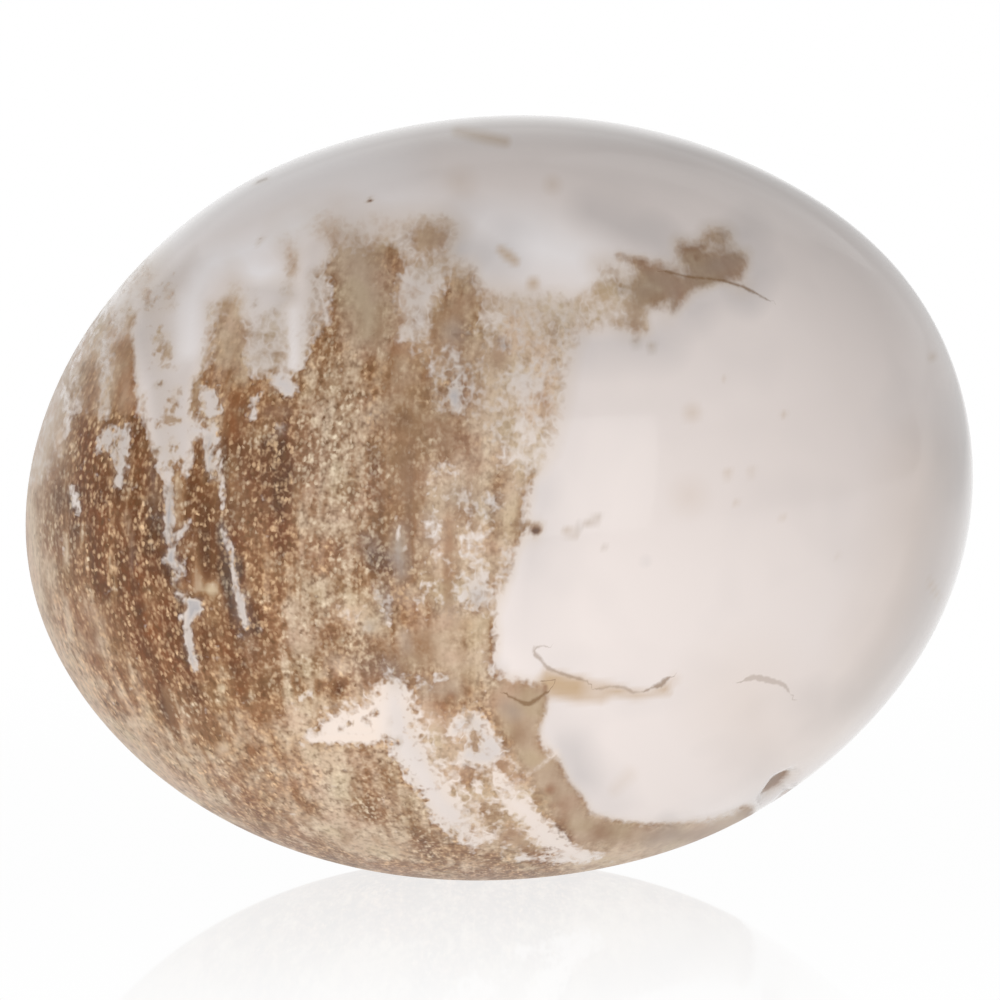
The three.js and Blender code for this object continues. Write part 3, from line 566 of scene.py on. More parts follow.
    stroke(0.14, (6.33, 8.36, 0.04), (6.89, 8.42, 0.04), dark=0.65, cool=0.3),
    stroke(0.3, (6.6, 8.1, 0.12), (6.8, 7.9, 0.15), dark=0.35, rust=0.3, cool=0.2),
    stroke(0.09, (6.65, 8.07, 0.02), dark=1.2),
    stroke(0.15, (4.9, 7.17, 0.05), (5.4, 6.95, 0.05), wood=0.45, dark=0.1, rust=0.1),
    stroke(0.18, (5.88, 6.75, 0.06), (5.93, 6.35, 0.06), dark=0.35, rust=0, cool=0.6),
    stroke(0.18, (4.15, 6.94, 0.08), wood=0.4, dark=0.3, rust=0, cool=0.6),
    stroke(0.3, (4.7, 6, 0.1), (4.9, 5.6, 0.15), wood=0.3, ragged=0.4, dark=0.05, rust=0.1),
    stroke(0.18, (3.85, 5.85, 0.05), (4.3, 5.87, 0.06), wood=0.5, dark=0.15, rust=0),
    stroke(0.18, (5.14, 5.02, 0.08), wood=0.5, dark=0.35, rust=0, cool=0.6),
    stroke(0.2, (4.62, 5.2, 0.08), wood=0.2, dark=0.2, rust=0, cool=0.6),
    # tints of the agate, with painted sheen along the upper-left rim and painted shade inside the right rim
    stroke(0.5, (-10.3, 5, 0.15), (-10.35, 6.6, 0.2), (-9.8, 7.8, 0.2), (-8.5, 8.3, 0.25), (-7.2, 8.9, 0.3),
        (-6.2, 9.5, 0.3), milk=1),
    stroke(0.4, (-8.25, 7.6, 0.25), (-7.5, 7.5, 0.2), cool=0, milk=0.9),
    stroke(0.3, (-6.95, 6.2, 0.2), (-6.92, 4.4, 0.2), cool=0.1, milk=0.7),
    area(0.9, (-1.4, 9.7), (1, 9.5), (3.2, 8.6), (4.2, 7.6), (3.5, 7.1), (1.5, 7.3), (-0.4, 7.5), milk=0.9),
    stroke(0.7, (-4.4, 10.1, 0.3), (-2, 9.9, 0.3), milk=0.6),
    # painted sheen: a paler, milkier band along the upper-left outline, standing in for light at the edge
    stroke(1.2, (-12.9, 7.3, 0.3), (-11.3, 8.9, 0.6), (-8.8, 10.3, 0.8), (-5.5, 11.2, 0.8),
        (-3.6, 11.2, 0.3), milk=0.8),
    # painted shade: a tan-grey band inside the right rim, standing in for the light falling off there
    stroke(1.5, (14.2, 1, 0.5), (13.6, -3.5, 0.7), (12.2, -6.8, 0.7), (10.3, -9.2, 0.4), stain=0.2),
    stroke(0.7, (3.1, 9.5, 0.4), (4.2, 9, 0.4), (5.2, 8.6, 0.4), (5.6, 8, 0.2), cool=0.35, milk=0),
    stroke(0.5, (3.2, 7.9, 0.2), (4, 7.6, 0.2), stain=0.15, milk=0.3),
    stroke(0.5, (7.6, 6.9, 0.2), (8.5, 6.5, 0.3), cool=0.3),
    stroke(0.7, (2.3, 4.6, 0.4), (2.1, 2.4, 0.4), (1.9, 1, 0.3), (1.5, -0.4, 0.3), (1, -2, 0.3), cool=0.14),
    stroke(1, (-0.6, 8, 0.5), (0.4, 7.2, 0.6), (1.8, 7.1, 0.6), (3, 6.8, 0.5), (4.2, 6.8, 0.5), stain=0.08),
    stroke(0.7, (-1.2, 8.6, 0.4), (-0.4, 7.8, 0.4), (0.2, 7, 0.4), stain=0.08),
    stroke(0.6, (2.6, -8.6, 0.4), (2.7, -9.4, 0.4), cool=0.3),
    stroke(0.25, (4.97, -2.2, 0.12), cool=0.3),
    stroke(0.6, (6.8, 6.4, 0.4), (8.4, 6.9, 0.4), (8.8, 7.6, 0.4), cool=0.25),
    stroke(0.15, (0.05, 8.3, 0.08), (0.3, 8.1, 0.13), (0.55, 7.9, 0.1), stain=0.8),
    stroke(0.2, (1.15, 7.15, 0.13), stain=0.9),
    stroke(0.25, (1.8, 10.5, 0.2), stain=0.3),
    stroke(0.4, (-1.3, 10.6, 0.35), stain=0.2),
    stroke(0.2, (-1.4, 12.3, 0.1), (-0.5, 12.1, 0.13), (0.2, 11.95, 0.1), stain=0.8),
    stroke(0.25, (6.5, 2.8, 0.2), stain=0.35),
    stroke(0.15, (7.7, 0.75, 0.1), stain=0.4),
    stroke(0.15, (8.5, 0.8, 0.08), stain=0.3),
    stroke(0.6, (6.4, 0, 0.3), stain=0.2),
    stroke(0.1, (9.6, 2.7, 0.06), stain=0.5),
    stroke(0.08, (7.6, 4, 0.03), stain=0.7),
    stroke(0.08, (8, -0.25, 0.03), stain=0.6),
    stroke(0.08, (9.55, -0.75, 0.03), stain=0.6),
    stroke(0.08, (11.45, -2.1, 0.03), stain=0.6),
    stroke(1.8, (8.4, -7, 1.2), (8.8, -8.2, 0.8), stain=0.15),
    stroke(0.14, (2.26, -1.2, 0.07), (2.6, -1.28, 0.04), cool=0.4, stain=0.6),
    stroke(0.12, (2.68, -1.05, 0.06), wood=0.2, dark=0.5, rust=0, grit=0, cool=0.8),
    stroke(0.14, (2.95, -0.9, 0.03), (3.35, -0.78, 0.04), cool=0.7, stain=0.6),
    stroke(0.1, (3.55, -1.7, 0.03), cool=0.5, stain=0.4),
    area(0.16, (1.54, -5.85), (2.49, -6.1), (3.49, -6.25), (4.39, -6.54), (5.06, -6.62), (5.73, -6.3),
        (5.75, -6.65), (4.61, -6.81), (3.88, -6.74), (3.44, -7), (2.6, -6.92), (1.7, -6.77), (1.45, -6.45),
        stain=0.75),
    stroke(0.3, (1.6, -6.3, 0.2), (2.6, -6.45, 0.2), stain=0.95),
    stroke(0.2, (5.9, -6.2, 0.1), stain=0.35),
    stroke(0.2, (4.4, -9.4, 0.2), (3.9, -9.9, 0.15), stain=0.15),
    stroke(0.15, (14.6, 4.7, 0.1), stain=0.5),
    stroke(0.1, (14.5, -2.9, 0.05), (14.8, -3.4, 0.05), stain=0.5),
    stroke(0.2, (0.7, -0.95, 0.12), (1.35, -1.02, 0.12), wood=0.7, dark=0.35, rust=0, grit=0, cool=0.3),
    stroke(0.14, (1.25, -1.2, 0.13), wood=1, dark=1.4, rust=0, grit=0),
    stroke(0.1, (-4.35, 9.97, 0.06), wood=1, dark=1.3, rust=0, grit=0),
    stroke(0.12, (-8.15, 8.45, 0.03), (-8, 8.7, 0.04), wood=0.4, dark=1.2, rust=0, grit=0),
    stroke(0.12, (-8.2, 10.55, 0.03), (-7.8, 10.72, 0.04), wood=0.6, dark=1.4, rust=0, grit=0),
    stroke(0.15, (9.1, -10.05, 0.1), (9.5, -9.75, 0.2), (9.8, -9.45, 0.1), wood=0.9, dark=0.6, grit=0,
        cool=0.4),
]

# Touches over the marks: their levels are added to what lies there.
showTouches = [
    # deeper places in the wood
    stroke(0.6, (-9.3, -0.4, 0.3), (-9.35, -1.2, 0.4), (-9.3, -2.4, 0.4), dark=0.55),
    stroke(0.6, (-9.3, -3.4, 0.3), (-9.4, -4.8, 0.4), dark=0.4),
    stroke(0.6, (-8.1, -4.2, 0.4), (-8, -5, 0.4), dark=0.6),
    stroke(0.5, (-11.7, -0.8, 0.3), (-11.75, -2.3, 0.4), dark=0.6),
    stroke(0.6, (-8.1, 2.9, 0.3), (-8.1, 1.2, 0.4), dark=0.5),
    stroke(0.5, (-6.9, 1.9, 0.2), (-6.9, 1.1, 0.3), dark=0.4),
    stroke(0.5, (-9.3, 1.6, 0.3), dark=0.3),
    stroke(0.6, (-10.5, -4.6, 0.5), dark=0.45),
    stroke(0.8, (-9.3, -8.8, 0.4), (-8.2, -8.4, 0.5), (-6.9, -9.8, 0.5), dark=0.3, rust=0.4),
    stroke(0.5, (-4.1, -1.9, 0.2), (-3.3, -2.3, 0.4), dark=0.4, cool=0.3),
    stroke(0.5, (-4.4, -5.6, 0.4), (-3.3, -5.8, 0.4), dark=0.35, cool=0.25),
    # more or less wood in the lace, and a painted sheen along the bottom
    stroke(0.5, (-0.8, 1.7, 0.4), (-0.8, 1.1, 0.3), wood=0.75),
    stroke(0.5, (-4.4, -6.9, 0.3), wood=0.45),
    stroke(0.4, (-2.3, -8.2, 0.25), wood=-0.4),
    stroke(0.5, (1.4, -10.7, 0.3), wood=0.35, rust=0.2),
    stroke(0.6, (4, 7.5, 0.3), wood=0.3, cool=0.2),
    stroke(0.5, (-3.2, 6.3, 0.4), wood=0.4),
    stroke(0.3, (-12.95, 1.9, 0.2), (-12.95, 1.2, 0.2), wood=1),
    stroke(0.6, (-9.4, 7.7, 0.5), (-8.1, 7.5, 0.5), (-8.1, 6.4, 0.4), wood=-0.5, cool=-0.15, milk=0.3),
    stroke(0.5, (-6.9, 8.9, 0.4), wood=-0.4, milk=0.3),
    stroke(0.5, (-4.4, 8.9, 0.4), wood=-0.4),
    stroke(0.5, (-0.9, -3.3, 0.4), wood=-0.3, cool=0.4),
    stroke(0.4, (6.4, -11.05, 0.15), (7.7, -10.75, 0.15), wood=-0.5, dark=-0.7),
    # painted sheen: lighter along the bottom, standing in for the floor's reflection
    stroke(0.4, (-5.6, -11.6, 0.1), (-3.4, -12, 0.1), dark=-0.4),
    # single touches: deeper or paler wood, more or less of it
    spots(0.45, (-5.4, -0.1, 0.25), (-5.2, -1.7, 0.3), (-14.5, -0.2, 0.3), (-6.8, 2.6, 0.25),
        (-10.3, -5.4, 0.3), (2, -11.4, 0.2), (-2.3, -11.9, 0.25), (-11.5, -7.3, 0.3), (-13, 0.5, 0.2),
        (-4.4, -10.6, 0.3), (-6.9, 0.6, 0.3), dark=0.6),
    spots(0.4, (-1, 1.8, 0.25), (-1, -0.6, 0.2), (0.4, -1.1, 0.15), (2, -11.6, 0.2), (-3.9, -2.3, 0.25),
        (-3.3, -1.2, 0.2), (-10.8, -3.8, 0.25), (-9.1, -2.5, 0.2), (-10.9, -2.4, 0.2), (-8.6, -4.2, 0.25),
        (-6.2, -5.5, 0.25), (-2.6, -5.1, 0.25), (-3.3, 2.6, 0.25), (-2.6, 6, 0.2), dark=0.5),
    spots(0.4, (-11.1, -1.5, 0.2), (1.9, -11.6, 0.2), (3.5, -11.4, 0.2), (-9.1, -2.5, 0.25),
        (-5.3, 1.6, 0.25), (0.6, -8, 0.25), (-7.5, 0.1, 0.25), (-8.7, -5.7, 0.3), (-9.5, 1.1, 0.2),
        dark=0.4),
    spots(0.4, (1.9, -11.6, 0.2), (-6.9, 1.6, 0.2), (-12.3, -2, 0.25), (-9.1, -2.5, 0.2),
        (-10.8, -3.9, 0.25), (-0.4, -10.7, 0.2), (-10.4, -5.6, 0.3), (-14.2, -1.1, 0.25),
        (-10.3, -6.5, 0.25), (-13.1, -0.1, 0.2), (-8.6, -4.2, 0.2), (-7.7, 1.7, 0.2), (-9.1, -2.5, 0.3),
        (-7.5, -6.2, 0.3), (-5.1, -2.9, 0.25), (-4.9, -4.9, 0.25), (-10.9, -2.4, 0.25), (1.9, -11.7, 0.2),
        dark=0.45),
    stroke(0.6, (-4.8, -7, 0.2), (-3.6, -9, 0.2), (-3, -10, 0.2), milk=0.45),
    stroke(0.5, (4.8, 7, 0.5), (7.4, 7.8, 0.5), rust=-0.1, cool=0.25),
    spots(0.3, (7.3, 8.7, 0.3), wood=0.35, dark=0.15),
    spots(0.4, (-0.8, -7.8, 0.25), (-3.7, -8.6, 0.2), (-4.7, 6.8, 0.2), wood=0.35),
    spots(0.4, (-14.1, -4.2, 0.25), dark=-0.4),
    stroke(0.8, (-3.2, -7.4, 0.7), (-1, -10, 0.7), dark=-0.1, cool=0.12),
    spots(0.5, (-8.3, -10.5, 0.4), (-13.6, -4.3, 0.3), (-10.4, -4.9, 0.4), (1.9, -10.4, 0.25),
        (-8.6, -4.2, 0.3), dark=0.4, rust=0.5),
    stroke(0.4, (-14.8, 1.2, 0.2), (-15, -0.2, 0.2), (-15, -1.6, 0.2), dark=0.5),
    spots(0.4, (-11.8, -6, 0.25), (-9.8, -4, 0.2), (-12, -7.7, 0.25), (-7.2, -3.8, 0.25),
        (-9.1, -10.9, 0.3), (-6.3, 0.2, 0.2), (-8, -7.1, 0.2), dark=-0.5),
    spots(0.4, (-1.5, 5.5, 0.25), (-0.3, -0.4, 0.25), (5.7, -11.1, 0.2), (-3.2, -3.4, 0.25),
        (-1.7, -3.9, 0.25), (-4.5, -1.6, 0.15), dark=-0.35, cool=0.5),
    spots(0.45, (-4.3, -12.3, 0.2), (-3.4, -10.5, 0.3), (-5.5, -5.7, 0.25), (-6.6, -1, 0.25), dark=-0.5),
    spots(0.45, (-4.3, -4.4, 0.3), (-4.1, 2.7, 0.3), (-5.5, -5.7, 0.2), dark=-0.35, cool=0.4),
    spots(0.4, (-11.1, -1.4, 0.2), (-10.8, 1.1, 0.2), (-11.1, 0.1, 0.15), (-10.2, 2.9, 0.2),
        (-0.4, 6.4, 0.3), (-0.5, 5.5, 0.2), (-0.7, 1.1, 0.3), (8.1, 7.1, 0.2), (5.6, 6.1, 0.25),
        (-2.3, 2, 0.2), (-3.4, 6, 0.2), (1.1, -1.4, 0.15), (-3, 8.7, 0.2), wood=0.6, dark=0.2),
    spots(0.4, (0.2, 4.4, 0.3), (-1.4, -11.3, 0.3), (-5.2, -7, 0.25), (-4, -8.3, 0.25), (1.3, 0.9, 0.2),
        (-1.9, 0.6, 0.2), (-3.8, -6.4, 0.2), (-12.3, 7.1, 0.3), wood=0.45),
    spots(0.4, (-0.2, -0.2, 0.25), (-1.4, 3.5, 0.25), (-0.7, -3.5, 0.3), wood=-0.6, cool=0.4),
    spots(0.4, (-9.7, 2.4, 0.2), (5.8, 8, 0.2), (8.3, 7.1, 0.2), (4.3, 7.4, 0.25), (-1, -0.6, 0.2),
        (-9.7, 3.1, 0.2), (-13, 0.7, 0.2), (-4.3, -7.8, 0.2), (-11.1, -1.5, 0.2), (-11.1, -0.2, 0.15),
        wood=0.5, dark=0.1),
    spots(0.4, (-1.1, -9.8, 0.3), (-2.8, -6.5, 0.3), (-5.7, 6.9, 0.2), (8, -10.7, 0.3), (7.2, -11, 0.3),
        (-7.1, 7.8, 0.25), (-7.6, 6.7, 0.25), (-5, 9.3, 0.3), wood=-0.5),
    spots(0.4, (-1.4, 5.5, 0.25), (-0.2, -5.9, 0.25), wood=-0.5, cool=0.45),
    spots(0.4, (-1.5, 3.4, 0.25), (-2.7, -6.3, 0.25), wood=-0.35, cool=0.1),
    stroke(1.2, (-1.5, 4, 0.7), (-1.2, 1, 0.7), dark=0.1, cool=0.15),
    # duller places in the agate, and painted shade along the right rim
    spots(0.8, (-0.4, 7.9, 0.4), (-1.3, 8.3, 0.3), (0.3, 8.4, 0.4), (8.3, 8.8, 0.4), (0.2, 8.4, 0.3),
        cool=0.5),
    stroke(1.6, (1.3, -1.4, 0.2), (0.9, -3, 0.3), (0.9, -4.8, 0.3), (1.5, -5.6, 0.2), cool=0.3),
    spots(0.9, (6.4, 6.2, 0.3), (1.2, 0.3, 0.25), (8.4, 7, 0.2), cool=0.4),
    spots(1.2, (9.3, -9.9, 0.2), (10.8, -7.1, 0.3), cool=0.4),
    spots(0.8, (0.2, 8.4, 0.4), (-1.5, 9.8, 0.4), milk=-0.45),
    spots(0.4, (1.5, -8.7, 0.25), wood=-0.3, cool=-0.3),
    spots(0.4, (3.3, -6.6, 0.3), stain=-0.3),
    stroke(0.6, (-12.5, 6.7, 0.2), (-11.7, 7.9, 0.3), stain=0.35),
    stroke(1.2, (-1.2, 8.6, 0.7), (0.4, 8, 0.7), cool=0.65),
    stroke(0.9, (2.4, 5.5, 0.4), (3.2, 5.1, 0.5), (5.3, 5.2, 0.5), cool=0.45),
    stroke(1.5, (1.9, -7.8, 0.3), (2.2, -8.8, 0.4), (3.4, -9.8, 0.2), cool=0.3),
    stroke(0.4, (-10.9, 6.5, 0.2), (-10.8, 4.6, 0.2), milk=0.5),
    # painted shade: a greyer band along the right outline, standing in for the light falling off there
    stroke(1.3, (15.8, 3, 0.01), (15.6, 0.4, 0.25), (15.2, -2.2, 0.35), (14, -4.8, 0.25),
        (12.4, -6.9, 0.01), cool=0.7),
    # painted rim highlight: a paler band along the left outline, standing in for light at the edge
    stroke(0.3, (-12.7, 7.3, 0.1), (-14.85, 3.95, 0.1), (-15.95, 0, 0.1), (-15.5, -4.1, 0.1),
        (-13.3, -7.6, 0.12), (-10.3, -10.3, 0.1), wood=-0.15, dark=-0.85, grit=-0.4),
]

# The back, in the same frame as the show face: wood at the same end, and agate at the other.
backSide = [
    area(0.6, (-17, 7.5), (-11.5, 6.6), (-9.8, 9.2), (-8.2, 6.4), (-6.6, 3.6), (-4.4, 5), (-3, 7.8),
        (-1.4, 7.2), (-0.9, 3.4), (-2.2, 0.4), (-0.6, -2.4), (1.8, -4.2), (2.4, -7.6), (4, -9.6),
        (8.2, -10.4), (9.5, -12.5), (0, -15), (-17, -15), wood=1, ragged=0.7, dark=0.45, rust=0.4, grit=0.8),
    stroke(0.8, (-10.6, 6, 0.8), (-10.2, 2, 0.9), (-9.6, -2.4, 0.6), (-9.3, -5.4, 0.3), dark=0.8, rust=0.6),
    stroke(0.9, (-6.2, 2, 0.9), (-6.4, -2.6, 1.1), (-6, -7, 0.8), dark=0.15, rust=0.1, grit=1),
    stroke(0.6, (-1.6, 6.4, 0.6), (-2.4, 3.6, 0.7), (-3, 0.8, 0.5), dark=0.4, grit=0.1),
    stroke(0.3, (-12.2, 7.6, 0.6), (-12.8, 5.2, 0.2), (-12.9, 3.4, 0.3), (-12.6, 1.9, 0.1), wood=-0.8,
        ragged=0.9),
    stroke(0.15, (-12.9, 1, 0.12), (-12.6, -0.4, 0.1), wood=-0.9, ragged=0.9, cool=0.4),
    stroke(0.3, (-7.9, 5.6, 0.6), (-8.1, 3.4, 0.3), (-8.5, 2, 0.35), (-8.2, 0.4, 0.1), wood=-0.75, ragged=1,
        cool=0.3),
    stroke(0.15, (-8.3, -0.6, 0.1), (-8, -1.6, 0.22), (-8.1, -2.6, 0.06), wood=-0.9, ragged=0.9, cool=0.5),
    stroke(0.15, (-9.4, 3.2, 0.08), (-9.6, 1, 0.12), (-9.3, -0.8, 0.05), wood=-0.8, ragged=0.9, cool=0.5),
    stroke(0.4, (-4.4, -2, 0.5), (-3.9, -4, 0.3), (-3.2, -5.8, 0.7), (-2, -7.6, 0.3), (-0.9, -9.2, 0.4),
        wood=-0.45, ragged=1.1, dark=0.15, blush=0.5),
    stroke(0.3, (-4.2, -3.2, 0.2), (-3.3, -5.8, 0.35), (-2.2, -7.4, 0.2), wood=-1, ragged=0.7, cool=0.2),
    stroke(0.7, (-0.2, 1.6, 0.9), (0.8, -1, 0.8), (1.8, -2.8, 0.5), wood=-0.1, ragged=1, dark=0.15,
        grit=0.3),
    stroke(0.5, (2.6, 6.9, 0.3), (4, 6.2, 0.5), (5.2, 5, 0.6), (6.4, 5.2, 0.3), wood=0.1, ragged=0.7,
        dark=0.1, grit=0.1),
    stroke(0.4, (4.2, 6, 0.3), (5.1, 5.2, 0.5), (5.6, 4.4, 0.3), wood=0.95, ragged=0.35, dark=0.38,
        grit=0.05, cool=0.35),
    stroke(0.3, (6.9, 5.4, 0.15), (7.6, 5, 0.2), wood=0.6, ragged=0.3, dark=0.25, grit=0.05, cool=0.3),
    stroke(1.6, (9.8, 0.6, 0.5), (8, -1.8, 0.7), (6.4, -3.6, 0.4), cool=0.2),
    stroke(0.22, (7.2, -6.2, 0.05), (8, -5.8, 0.1), (8.6, -5.9, 0.06), (9.4, -5.5, 0.1), (10.2, -5.8, 0.03),
        stain=0.6),
    stroke(0.6, (3.4, -1.4, 0.3), (4, -3, 0.2), stain=0.2),
    stroke(0.3, (11, 3, 0.15), stain=0.6),
]

# Thin veins of the show face: how dark each is, and its (across, up, half width).
veins = [
    (0.5, [(1.53, -5.05, 0.01), (1.2, -5.1, 0.05), (1.17, -5.3, 0.06), (1.42, -5.55, 0.05),
        (1.64, -5.8, 0.05), (2, -5.95, 0.06), (2.43, -6.08, 0.05), (2.93, -6.25, 0.03)]),
    (0.4, [(3.4, -6.5, 0.03), (3.8, -6.42, 0.05), (4.2, -6.45, 0.06), (4.5, -6.62, 0.04),
        (4.94, -6.6, 0.03)]),
    (0.7, [(4.9, -6.6, 0.02), (5.17, -6.44, 0.05), (5.45, -6.4, 0.06), (5.61, -6.2, 0.08),
        (5.75, -6.1, 0.02)]),
    (0.85, [(0.35, -6.75, 0.03), (0.65, -6.9, 0.06), (0.95, -7.02, 0.07), (1.3, -6.85, 0.07),
        (1.6, -6.6, 0.03)]),
    (0.35, [(8.3, -6.2, 0.05), (8.6, -6.1, 0.1), (9.1, -6.22, 0.09), (9.6, -6.35, 0.08),
        (9.8, -6.65, 0.02)]),
    (0.8, [(5.7, 7.55, 0.03), (6.1, 7.45, 0.05), (6.5, 7.36, 0.04), (7, 7.33, 0.04), (7.6, 7.25, 0.03),
        (8.2, 7.05, 0.05), (8.6, 6.86, 0.04), (9.05, 6.6, 0.01)]),
]

faceTurn = {"from": -1.5, "to": 2.5}  # where the show face gives way to the back, in millimetres
grainBend = 17.0  # the radius over which the grain closes towards foot and top
veinReach = {"tone": 0.8, "width": 0.4}  # how far from a vein its tone and its width are still told
noVein = -0.1  # the half width away from every vein


# An eased share: s^2 (3 - 2 s), held between 0 and 1.
def smooth(share):
    share = np.clip(share, 0, 1)
    return share * share * (3 - 2 * share)


# How far a mark covers each point: 1/2 - gap / (2 fade), held between 0 and 1.
def covered(across, up, gap, places, fade):
    return np.clip(0.5 - gap(across, up, places) / (2 * fade), 0, 1)


# Lays the marks down one over another: each field moves towards the mark's level by its cover. Then
# the touches add their amounts by theirs.
def laidDown(across, up, marks, touches=()):
    made = {name: np.full(across.shape, level) for name, level in fields.items()}
    for gap, places, fade, levels in marks:
        cover = covered(across, up, gap, places, fade)
        for name, level in levels.items():
            made[name] += (level - made[name]) * cover
    for gap, places, fade, amounts in touches:
        cover = covered(across, up, gap, places, fade)
        for name, amount in amounts.items():
            made[name] += amount * cover
    return made


# Which side of the nearest vein each point lies on and how far, and that vein's half width and tone
# there. The sign of the side comes from the cross product with the vein's own direction.
def veinFields(across, up, near):
    side = np.full(across.shape, 1.0)
    width = np.full(across.shape, noVein)
    tone = np.zeros(across.shape)
    for darkness, places in veins:
        for (ax, ay, ar), (bx, by, br) in zip(places, places[1:]):
            dx, dy = bx - ax, by - ay
            share = np.clip(((across - ax) * dx + (up - ay) * dy) / (dx * dx + dy * dy), 0, 1)
            gap = np.hypot(across - ax - share * dx, up - ay - share * dy)
            closer = (gap < np.abs(side)) & (gap < veinReach["tone"]) & near
            signed = gap * np.where((across - ax) * dy - (up - ay) * dx > 0, 1, -1)
            side = np.where(closer, signed, side)
            half = np.where(gap < veinReach["width"], ar + share * (br - ar), noVein)
            width = np.where(closer, half, width)
            tone = np.where(closer, darkness, tone)
    return {"veinSide": side, "veinWidth": width, "veinTone": tone}


# The pebble: the skin at its reach, set in its box, worn flat at the foot by (z + hypot(z, blend)) / 2,
# and sunk at the pit. Every field of the skin is kept on the points, blended from show side to back.
def buildPebble():
    directions = directionGrid()
    points = directions * reach(directions)[:, None]
    points[:, :2] += pebbleMiddle[:2] - (points.max(0) + points.min(0))[:2] / 2
    points[:, 2] += pebbleHigh[2] - points[:, 2].max()
    points[:, 2] = (points[:, 2] + np.hypot(points[:, 2], pebble["footBlend"])) / 2
    across, up, inward = faceLayout(points)
    pitShare = smooth(-strokeGap(across, up, pebble["pit"]) / pebble["pitFade"] + 0.5) * (inward < 0)
    points -= directions * (pebble["pitSink"] * pitShare)[:, None]
    quads, fans = gridFaces()
    mesh = bpy.data.meshes.new("pebble_mesh")
    mesh.from_pydata((points * mm).tolist(), [], quads.tolist() + fans.tolist())
    mesh.shade_smooth()
    turned = smooth((inward - faceTurn["from"]) / (faceTurn["to"] - faceTurn["from"]))
    front, back = laidDown(across, up, showSide, showTouches), laidDown(across, up, backSide)
    values = {name: front[name] + (back[name] - front[name]) * turned for name in fields}
    values.update(veinFields(across, up, inward < 0))
    for name, value in values.items():
        kept = mesh.attributes.new(name, "FLOAT", "POINT")
        kept.data.foreach_set("value", value.astype(np.float32))
    height = points[:, 2] - pebbleMiddle[2]
    closing = np.sqrt(1 - (height / grainBend) ** 2)
    grain = np.stack([points[:, 0] / closing, points[:, 1], height], -1)
    kept = mesh.attributes.new("grain", "FLOAT_VECTOR", "POINT")
    kept.data.foreach_set("vector", grain.astype(np.float32).ravel())
    made = bpy.data.objects.new("polished_pebble", mesh)
    bpy.context.scene.collection.objects.link(made)
    return made


# A socket that Python's own signs work on: each adds a Math node.
class Value:
    def __init__(self, tree, socket):
        self.tree = tree
        self.socket = socket

    def math(self, operation, *others):
        settings = {"operation": operation}
        return self.tree.add("ShaderNodeMath", settings, dict(enumerate(others)))

    def __add__(self, other):
        return self.math("ADD", self, other)

    def __sub__(self, other):
        return self.math("SUBTRACT", self, other)

    def __mul__(self, other):
        return self.math("MULTIPLY", self, other)

    def __rsub__(self, other):
        return self.math("SUBTRACT", other, self)

    __radd__ = __add__
    __rmul__ = __mul__

    # another output of the node this value comes from
    def beside(self, output):
        return Value(self.tree, self.socket.node.outputs[output])

    def size(self):
        return self.math("ABSOLUTE", self)

    def between(self, low, high):
        return self.math("MINIMUM", self.math("MAXIMUM", self, low), high)

    # 0 below low and 1 above high, with an eased climb between them
    def climb(self, low, high):
        return self.tree.add("ShaderNodeMapRange", {"interpolation_type": "SMOOTHSTEP"},
                             {"Value": self, "From Min": low, "From Max": high})


class Tree:
    def __init__(self, nodeTree):
        self.nodes = nodeTree.nodes
        self.links = nodeTree.links
        self.nodes.clear()

    # One node: its type, its settings, and the values or links of its sockets. Gives one of its outputs.
    def add(self, kind, settings=None, sockets=None, output=0):
        node = self.nodes.new(kind)
        for name, setting in (settings or {}).items():
            if name == "stops":
                self.setStops(node.color_ramp, setting)
            else:
                setattr(node, name, setting)
        for name, given in (sockets or {}).items():
            if isinstance(given, Value):
                self.links.new(given.socket, node.inputs[name])
            else:
                node.inputs[name].default_value = given
        outputs = node.outputs
        return Value(self, outputs[output]) if len(outputs) else node

    def setStops(self, ramp, stops):
        while len(ramp.elements) < len(stops):
            ramp.elements.new(1)
        for element, (place, colour) in zip(ramp.elements, stops):
            element.position = place
            element.color = colour

    def attribute(self, name, output="Fac"):
        return self.add("ShaderNodeAttribute", {"attribute_name": name}, output=output)

    def blend(self, share, first, second, how="MIX"):
        settings = {"data_type": "RGBA", "blend_type": how}
        return self.add("ShaderNodeMix", settings, {0: share, 6: first, 7: second}, 2)

    def stretch(self, vector, amounts):
        return self.add("ShaderNodeVectorMath", {"operation": "MULTIPLY"}, {0: vector, 1: amounts})

    # the vector pushed about by a noise of its own, by up to half the amount each way
    def wander(self, vector, scale, amount):
        push = self.add("ShaderNodeTexNoise", None, {"Vector": vector, "Scale": scale, "Detail": 1.0}, 1)
        given = {0: push, 1: (amount,) * 3, 2: vector}
        return self.add("ShaderNodeVectorMath", {"operation": "MULTIPLY_ADD"}, given)

    # noise centred on 0 and mostly between -1 and 1: 5 (n - 1/2)
    def noise(self, vector, scale=1, detail=2, roughness=0.5, stretch=None):
        if stretch:
            vector = self.stretch(vector, stretch)
        made = self.add("ShaderNodeTexNoise", None,
                        {"Vector": vector, "Scale": scale, "Detail": detail, "Roughness": roughness})
        return (made - 0.5) * 5


# A colour from its usual six hexadecimal digits, in the linear values that sockets take.
def paint(digits):
    parts = [int(digits[i:i + 2], 16) / 255 for i in (0, 2, 4)]
    return (*[p / 12.92 if p <= 0.04045 else ((p + 0.055) / 1.055) ** 2.4 for p in parts], 1)


